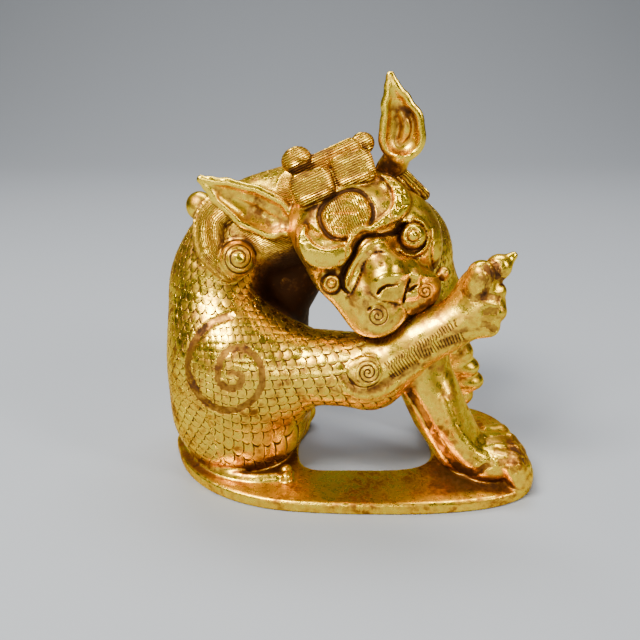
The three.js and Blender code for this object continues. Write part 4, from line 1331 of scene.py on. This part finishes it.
FACE_CUTS = [
    # depth, edge, rows
    (1.3, 0.5, [(7.8, 8.6, 0.45), (6.5, 7.5, 0.9), (5.3, 6.4, 0.75), (3.8, 6.2, 0.4), (2.4, 5.9, 0.35), (0.6, 5.9, 0.35), (-1.5, 5.6, 0.4), (-2.9, 4.5, 0.45), (-3.8, 3.1, 0.45), (-4.5, 1.3, 0.6), (-5.6, -0.3, 0.65), (-6.6, -2.2, 0.75), (-7.2, -4.6, 0.7), (-6.7, -6.6, 0.6), (-5.6, -7.8, 0.35)]),
    (0.6, 0.3, [(3.0, 1.7, 0.2), (1.2, 1.9, 0.25), (-0.4, 0.8, 0.25), (-1.7, -0.6, 0.25), (-2.3, -2.2, 0.25), (-2.9, -4.0, 0.25), (-3.8, -6.0, 0.25), (-5.0, -8.1, 0.25), (-6.2, -9.0, 0.2)]),
    (0.5, 0.3, [(13.8, 7.2, 0.2), (13.8, 4.7, 0.25), (12.8, 2.2, 0.25), (10.6, 0.6, 0.25), (8.4, 0.8, 0.25), (6.5, 2.0, 0.2)]),
    (0.45, 0.3, [(13.8, 5.4, 0.2), (14.3, 4.1, 0.25), (14.0, 1.9, 0.25), (14.1, -0.5, 0.25), (14.9, -2.8, 0.25)]),
    (0.3, 0.3, [(14.3, 4.2, 0.15), (15.7, 4.4, 0.15), (17.1, 4.5, 0.15)]),
    (0.5, 0.6, [(17.7, 2.8, 0.4), (18.1, 1.0, 0.6), (18.5, -1.0, 0.4)]),
    (1.3, 0.5, [(1.4, -7.8, 0.5), (2.2, -6.8, 0.5), (3.7, -6.0, 0.35), (5.3, -6.0, 0.25), (7.2, -5.3, 0.1)]),
    (1.2, 0.5, [(8.8, -7.2, 0.5), (9.9, -6.4, 0.45), (11.2, -5.5, 0.15)]),
    (1.2, 0.4, [(9.0, -4.4, 0.2), (8.4, -6.1, 0.4), (7.7, -8.4, 0.35), (7.2, -10.5, 0.15)]),
    (0.55, 0.3, [(-0.6, -7.5, 0.1), (0.9, -9.1, 0.2), (2.4, -9.7, 0.2), (4.7, -10.2, 0.2), (6.5, -10.6, 0.2), (7.4, -11.2, 0.2), (8.2, -12.5, 0.2), (9.0, -13.5, 0.2)]),
    (0.5, 0.3, [(9.0, -13.5, 0.2), (11.2, -13.0, 0.25), (13.5, -11.9, 0.25), (15.6, -11.2, 0.25), (17.4, -10.7, 0.25)]),
    (0.7, 0.4, [(-7.6, 5.3, 0.15), (-6.6, 3.9, 0.25), (-5.0, 1.7, 0.3)]),
    (0.35, 0.3, [(-0.6, 8.8, 0.1), (0.0, 7.8, 0.1), (0.9, 6.6, 0.1)]),
    (0.7, 0.5, [(2.1, -0.8, 0.4), (2.3, -1.2, 0.4)]),
    (0.8, 0.5, [(-0.8, -11.8, 0.4), (-0.4, -11.4, 0.5)]),
    (0.5, 0.3, [(17.3, -3.5, 0.15), (17.5, -3.5, 0.15)]),
    (0.7, 0.5, [(16.4, -9.6, 0.5), (17.8, -8.4, 0.6)]),
]
LIP_PAD_CURLS = [((1.3, -13.2), 1.15, 2.5, -1, 0.1), ((12.6, -7.4), 0.95, 1.9, 1, 0.3)]
# the pupil's place, its ring's radius, the ball's radius and how far the ball stands out
EYE_BALLS = [((9.7, 5.7), 1.5, 3.2, 1.3), ((-9.6, -5.5), 1.15, 2.2, 0.6)]
OVAL_PITCH = 0.56


def band_gap(plan, rows, far=3):
    """Signed distance in the plane to the edge of a band of varying width."""
    rows = smooth_path(rows, 4)
    gap = np.full(len(plan), float(far))
    close = (plan > rows[:, :2].min(0) - far) & (plan < rows[:, :2].max(0) + far)
    near = np.flatnonzero(close.all(1))
    some = plan[near]
    best = gap[near]
    for a, b in zip(rows, rows[1:]):
        along = (b - a)[:2]
        t = np.clip((some - a[:2]) @ along / (along @ along), 0, 1)
        away = length_of(some - a[:2] - t[:, None] * along) - (a[2] + (b[2] - a[2]) * t)
        best = np.minimum(best, away)
    gap[near] = best
    return gap


def oval_gap(seen):
    """Signed distance to the forehead's oval, which is squarer than an ellipse."""
    c, s = math.cos(math.radians(HEAD_ROLL)), math.sin(math.radians(HEAD_ROLL))
    x = ((seen[:, 0] - OVAL_CENTRE[0]) * c + (seen[:, 1] - OVAL_CENTRE[1]) * s) / OVAL_HALF[0]
    y = ((seen[:, 1] - OVAL_CENTRE[1]) * c - (seen[:, 0] - OVAL_CENTRE[0]) * s) / OVAL_HALF[1]
    return ((np.abs(x) ** 2.5 + np.abs(y) ** 2.5) ** (1 / 2.5) - 1) * OVAL_HALF[1]


def face_relief(points, detail=False):
    """Height of the face's carving; with detail, how deep in a cut and how far on the oval too."""
    seen = seen_from_front(points)
    front = smooth_step(-9, -7, head_coordinates(points)[:, 2])
    height = np.zeros(len(points))
    dark = np.zeros(len(points))
    for (place, ring, ball, rise) in EYE_BALLS:
        away = np.hypot(*(seen - place).T)
        height += (rise + 0.6) * np.sqrt(np.maximum(1 - (away / ball) ** 2, 0)) - 0.6 * smooth_step(ball + 0.9, ball, away)
        mark = smooth_step(0.34, 0.1, np.abs(away - ring))
        height += 0.7 * smooth_step(ring * 0.8, ring * 0.1, away) - 0.6 * mark
        dark = np.maximum(dark, np.maximum(0.8 * mark, 0.6 * smooth_step(0.45, 0.1, np.abs(away - ball - 0.1))))
    brow = np.zeros(len(points))
    for rows in BROW_BANDS:
        gap = band_gap(seen, rows)
        brow = np.maximum(brow, smooth_step(0.1, -0.9, gap) * (1 + 0.12 * np.clip(-gap - 0.9, 0, 2)))
        dark = np.maximum(dark, 0.4 * smooth_step(0.5, 0.1, np.abs(gap - 0.1)))
    height += BROW_RISE * brow
    gap = oval_gap(seen)
    oval = smooth_step(0.15, -0.7, gap)
    height += OVAL_RISE * oval + 0.28 * np.clip(-gap - 0.7, 0, 4) * oval
    height -= 0.6 * smooth_step(0.5, 0.15, np.abs(gap - 0.4)) * (1 - brow)
    dark = np.maximum(dark, 0.55 * smooth_step(0.5, 0.15, np.abs(gap - 0.3)))
    for rise, edge, rows in FACE_RIDGES:
        height += rise * smooth_step(0.1, -edge, band_gap(seen, rows))
    for depth, edge, rows in FACE_CUTS:
        mark = smooth_step(edge * 0.15, -edge * 0.85, band_gap(seen, rows))
        height -= depth * mark
        dark = np.maximum(dark, 0.5 * mark)
    if detail:
        return height * front, dark * front, oval * front * (gap < -0.3)
    return height * front


def chase_head(points, slope):
    """Height of the combed lines at each point of the head, and what its finish reads."""
    _, dark, oval = face_relief(points, True)
    facing = front_mask(points, slope, 6)
    seen = seen_from_front(points)
    hair = smooth_step(0, 0.4, head.coats(points)["hair"])
    c, s = math.cos(math.radians(COMB_TURN)), math.sin(math.radians(COMB_TURN))
    strand = np.where(oval > 0.3, (0.93 * seen[:, 0] + 0.37 * seen[:, 1]) / OVAL_PITCH, (seen[:, 1] * c - seen[:, 0] * s) / STRAND_PITCH)
    combed = np.maximum(hair, oval) * facing
    relief = 0.1 * combed * (np.abs(2 * (strand % 1) - 1) - 0.5)
    flat = np.zeros(len(points))
    curl_place, on_curl = curl_places(seen, LIP_PAD_CURLS)
    drawn = {
        "lay": (flat, flat, flat), "strand": (strand, combed, dark * facing),
        "curl": (*curl_place.T, 0.8 * on_curl * facing), "hatch": (flat, flat, flat),
        "engraving": (flat, flat, flat),
    }
    return relief, drawn


HEAD_TRIANGLES = 190000
HEAD_CELL = 0.36
head_piece = walked_piece(
    "qilin_head", head, (-41, -34, 40), (30, 12, 106), HEAD_CELL, chase_head, HEAD_TRIANGLES, [body],
    face_relief)
head_piece.data.materials.append(gilt)
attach(head_piece, "root")
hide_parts("figure")
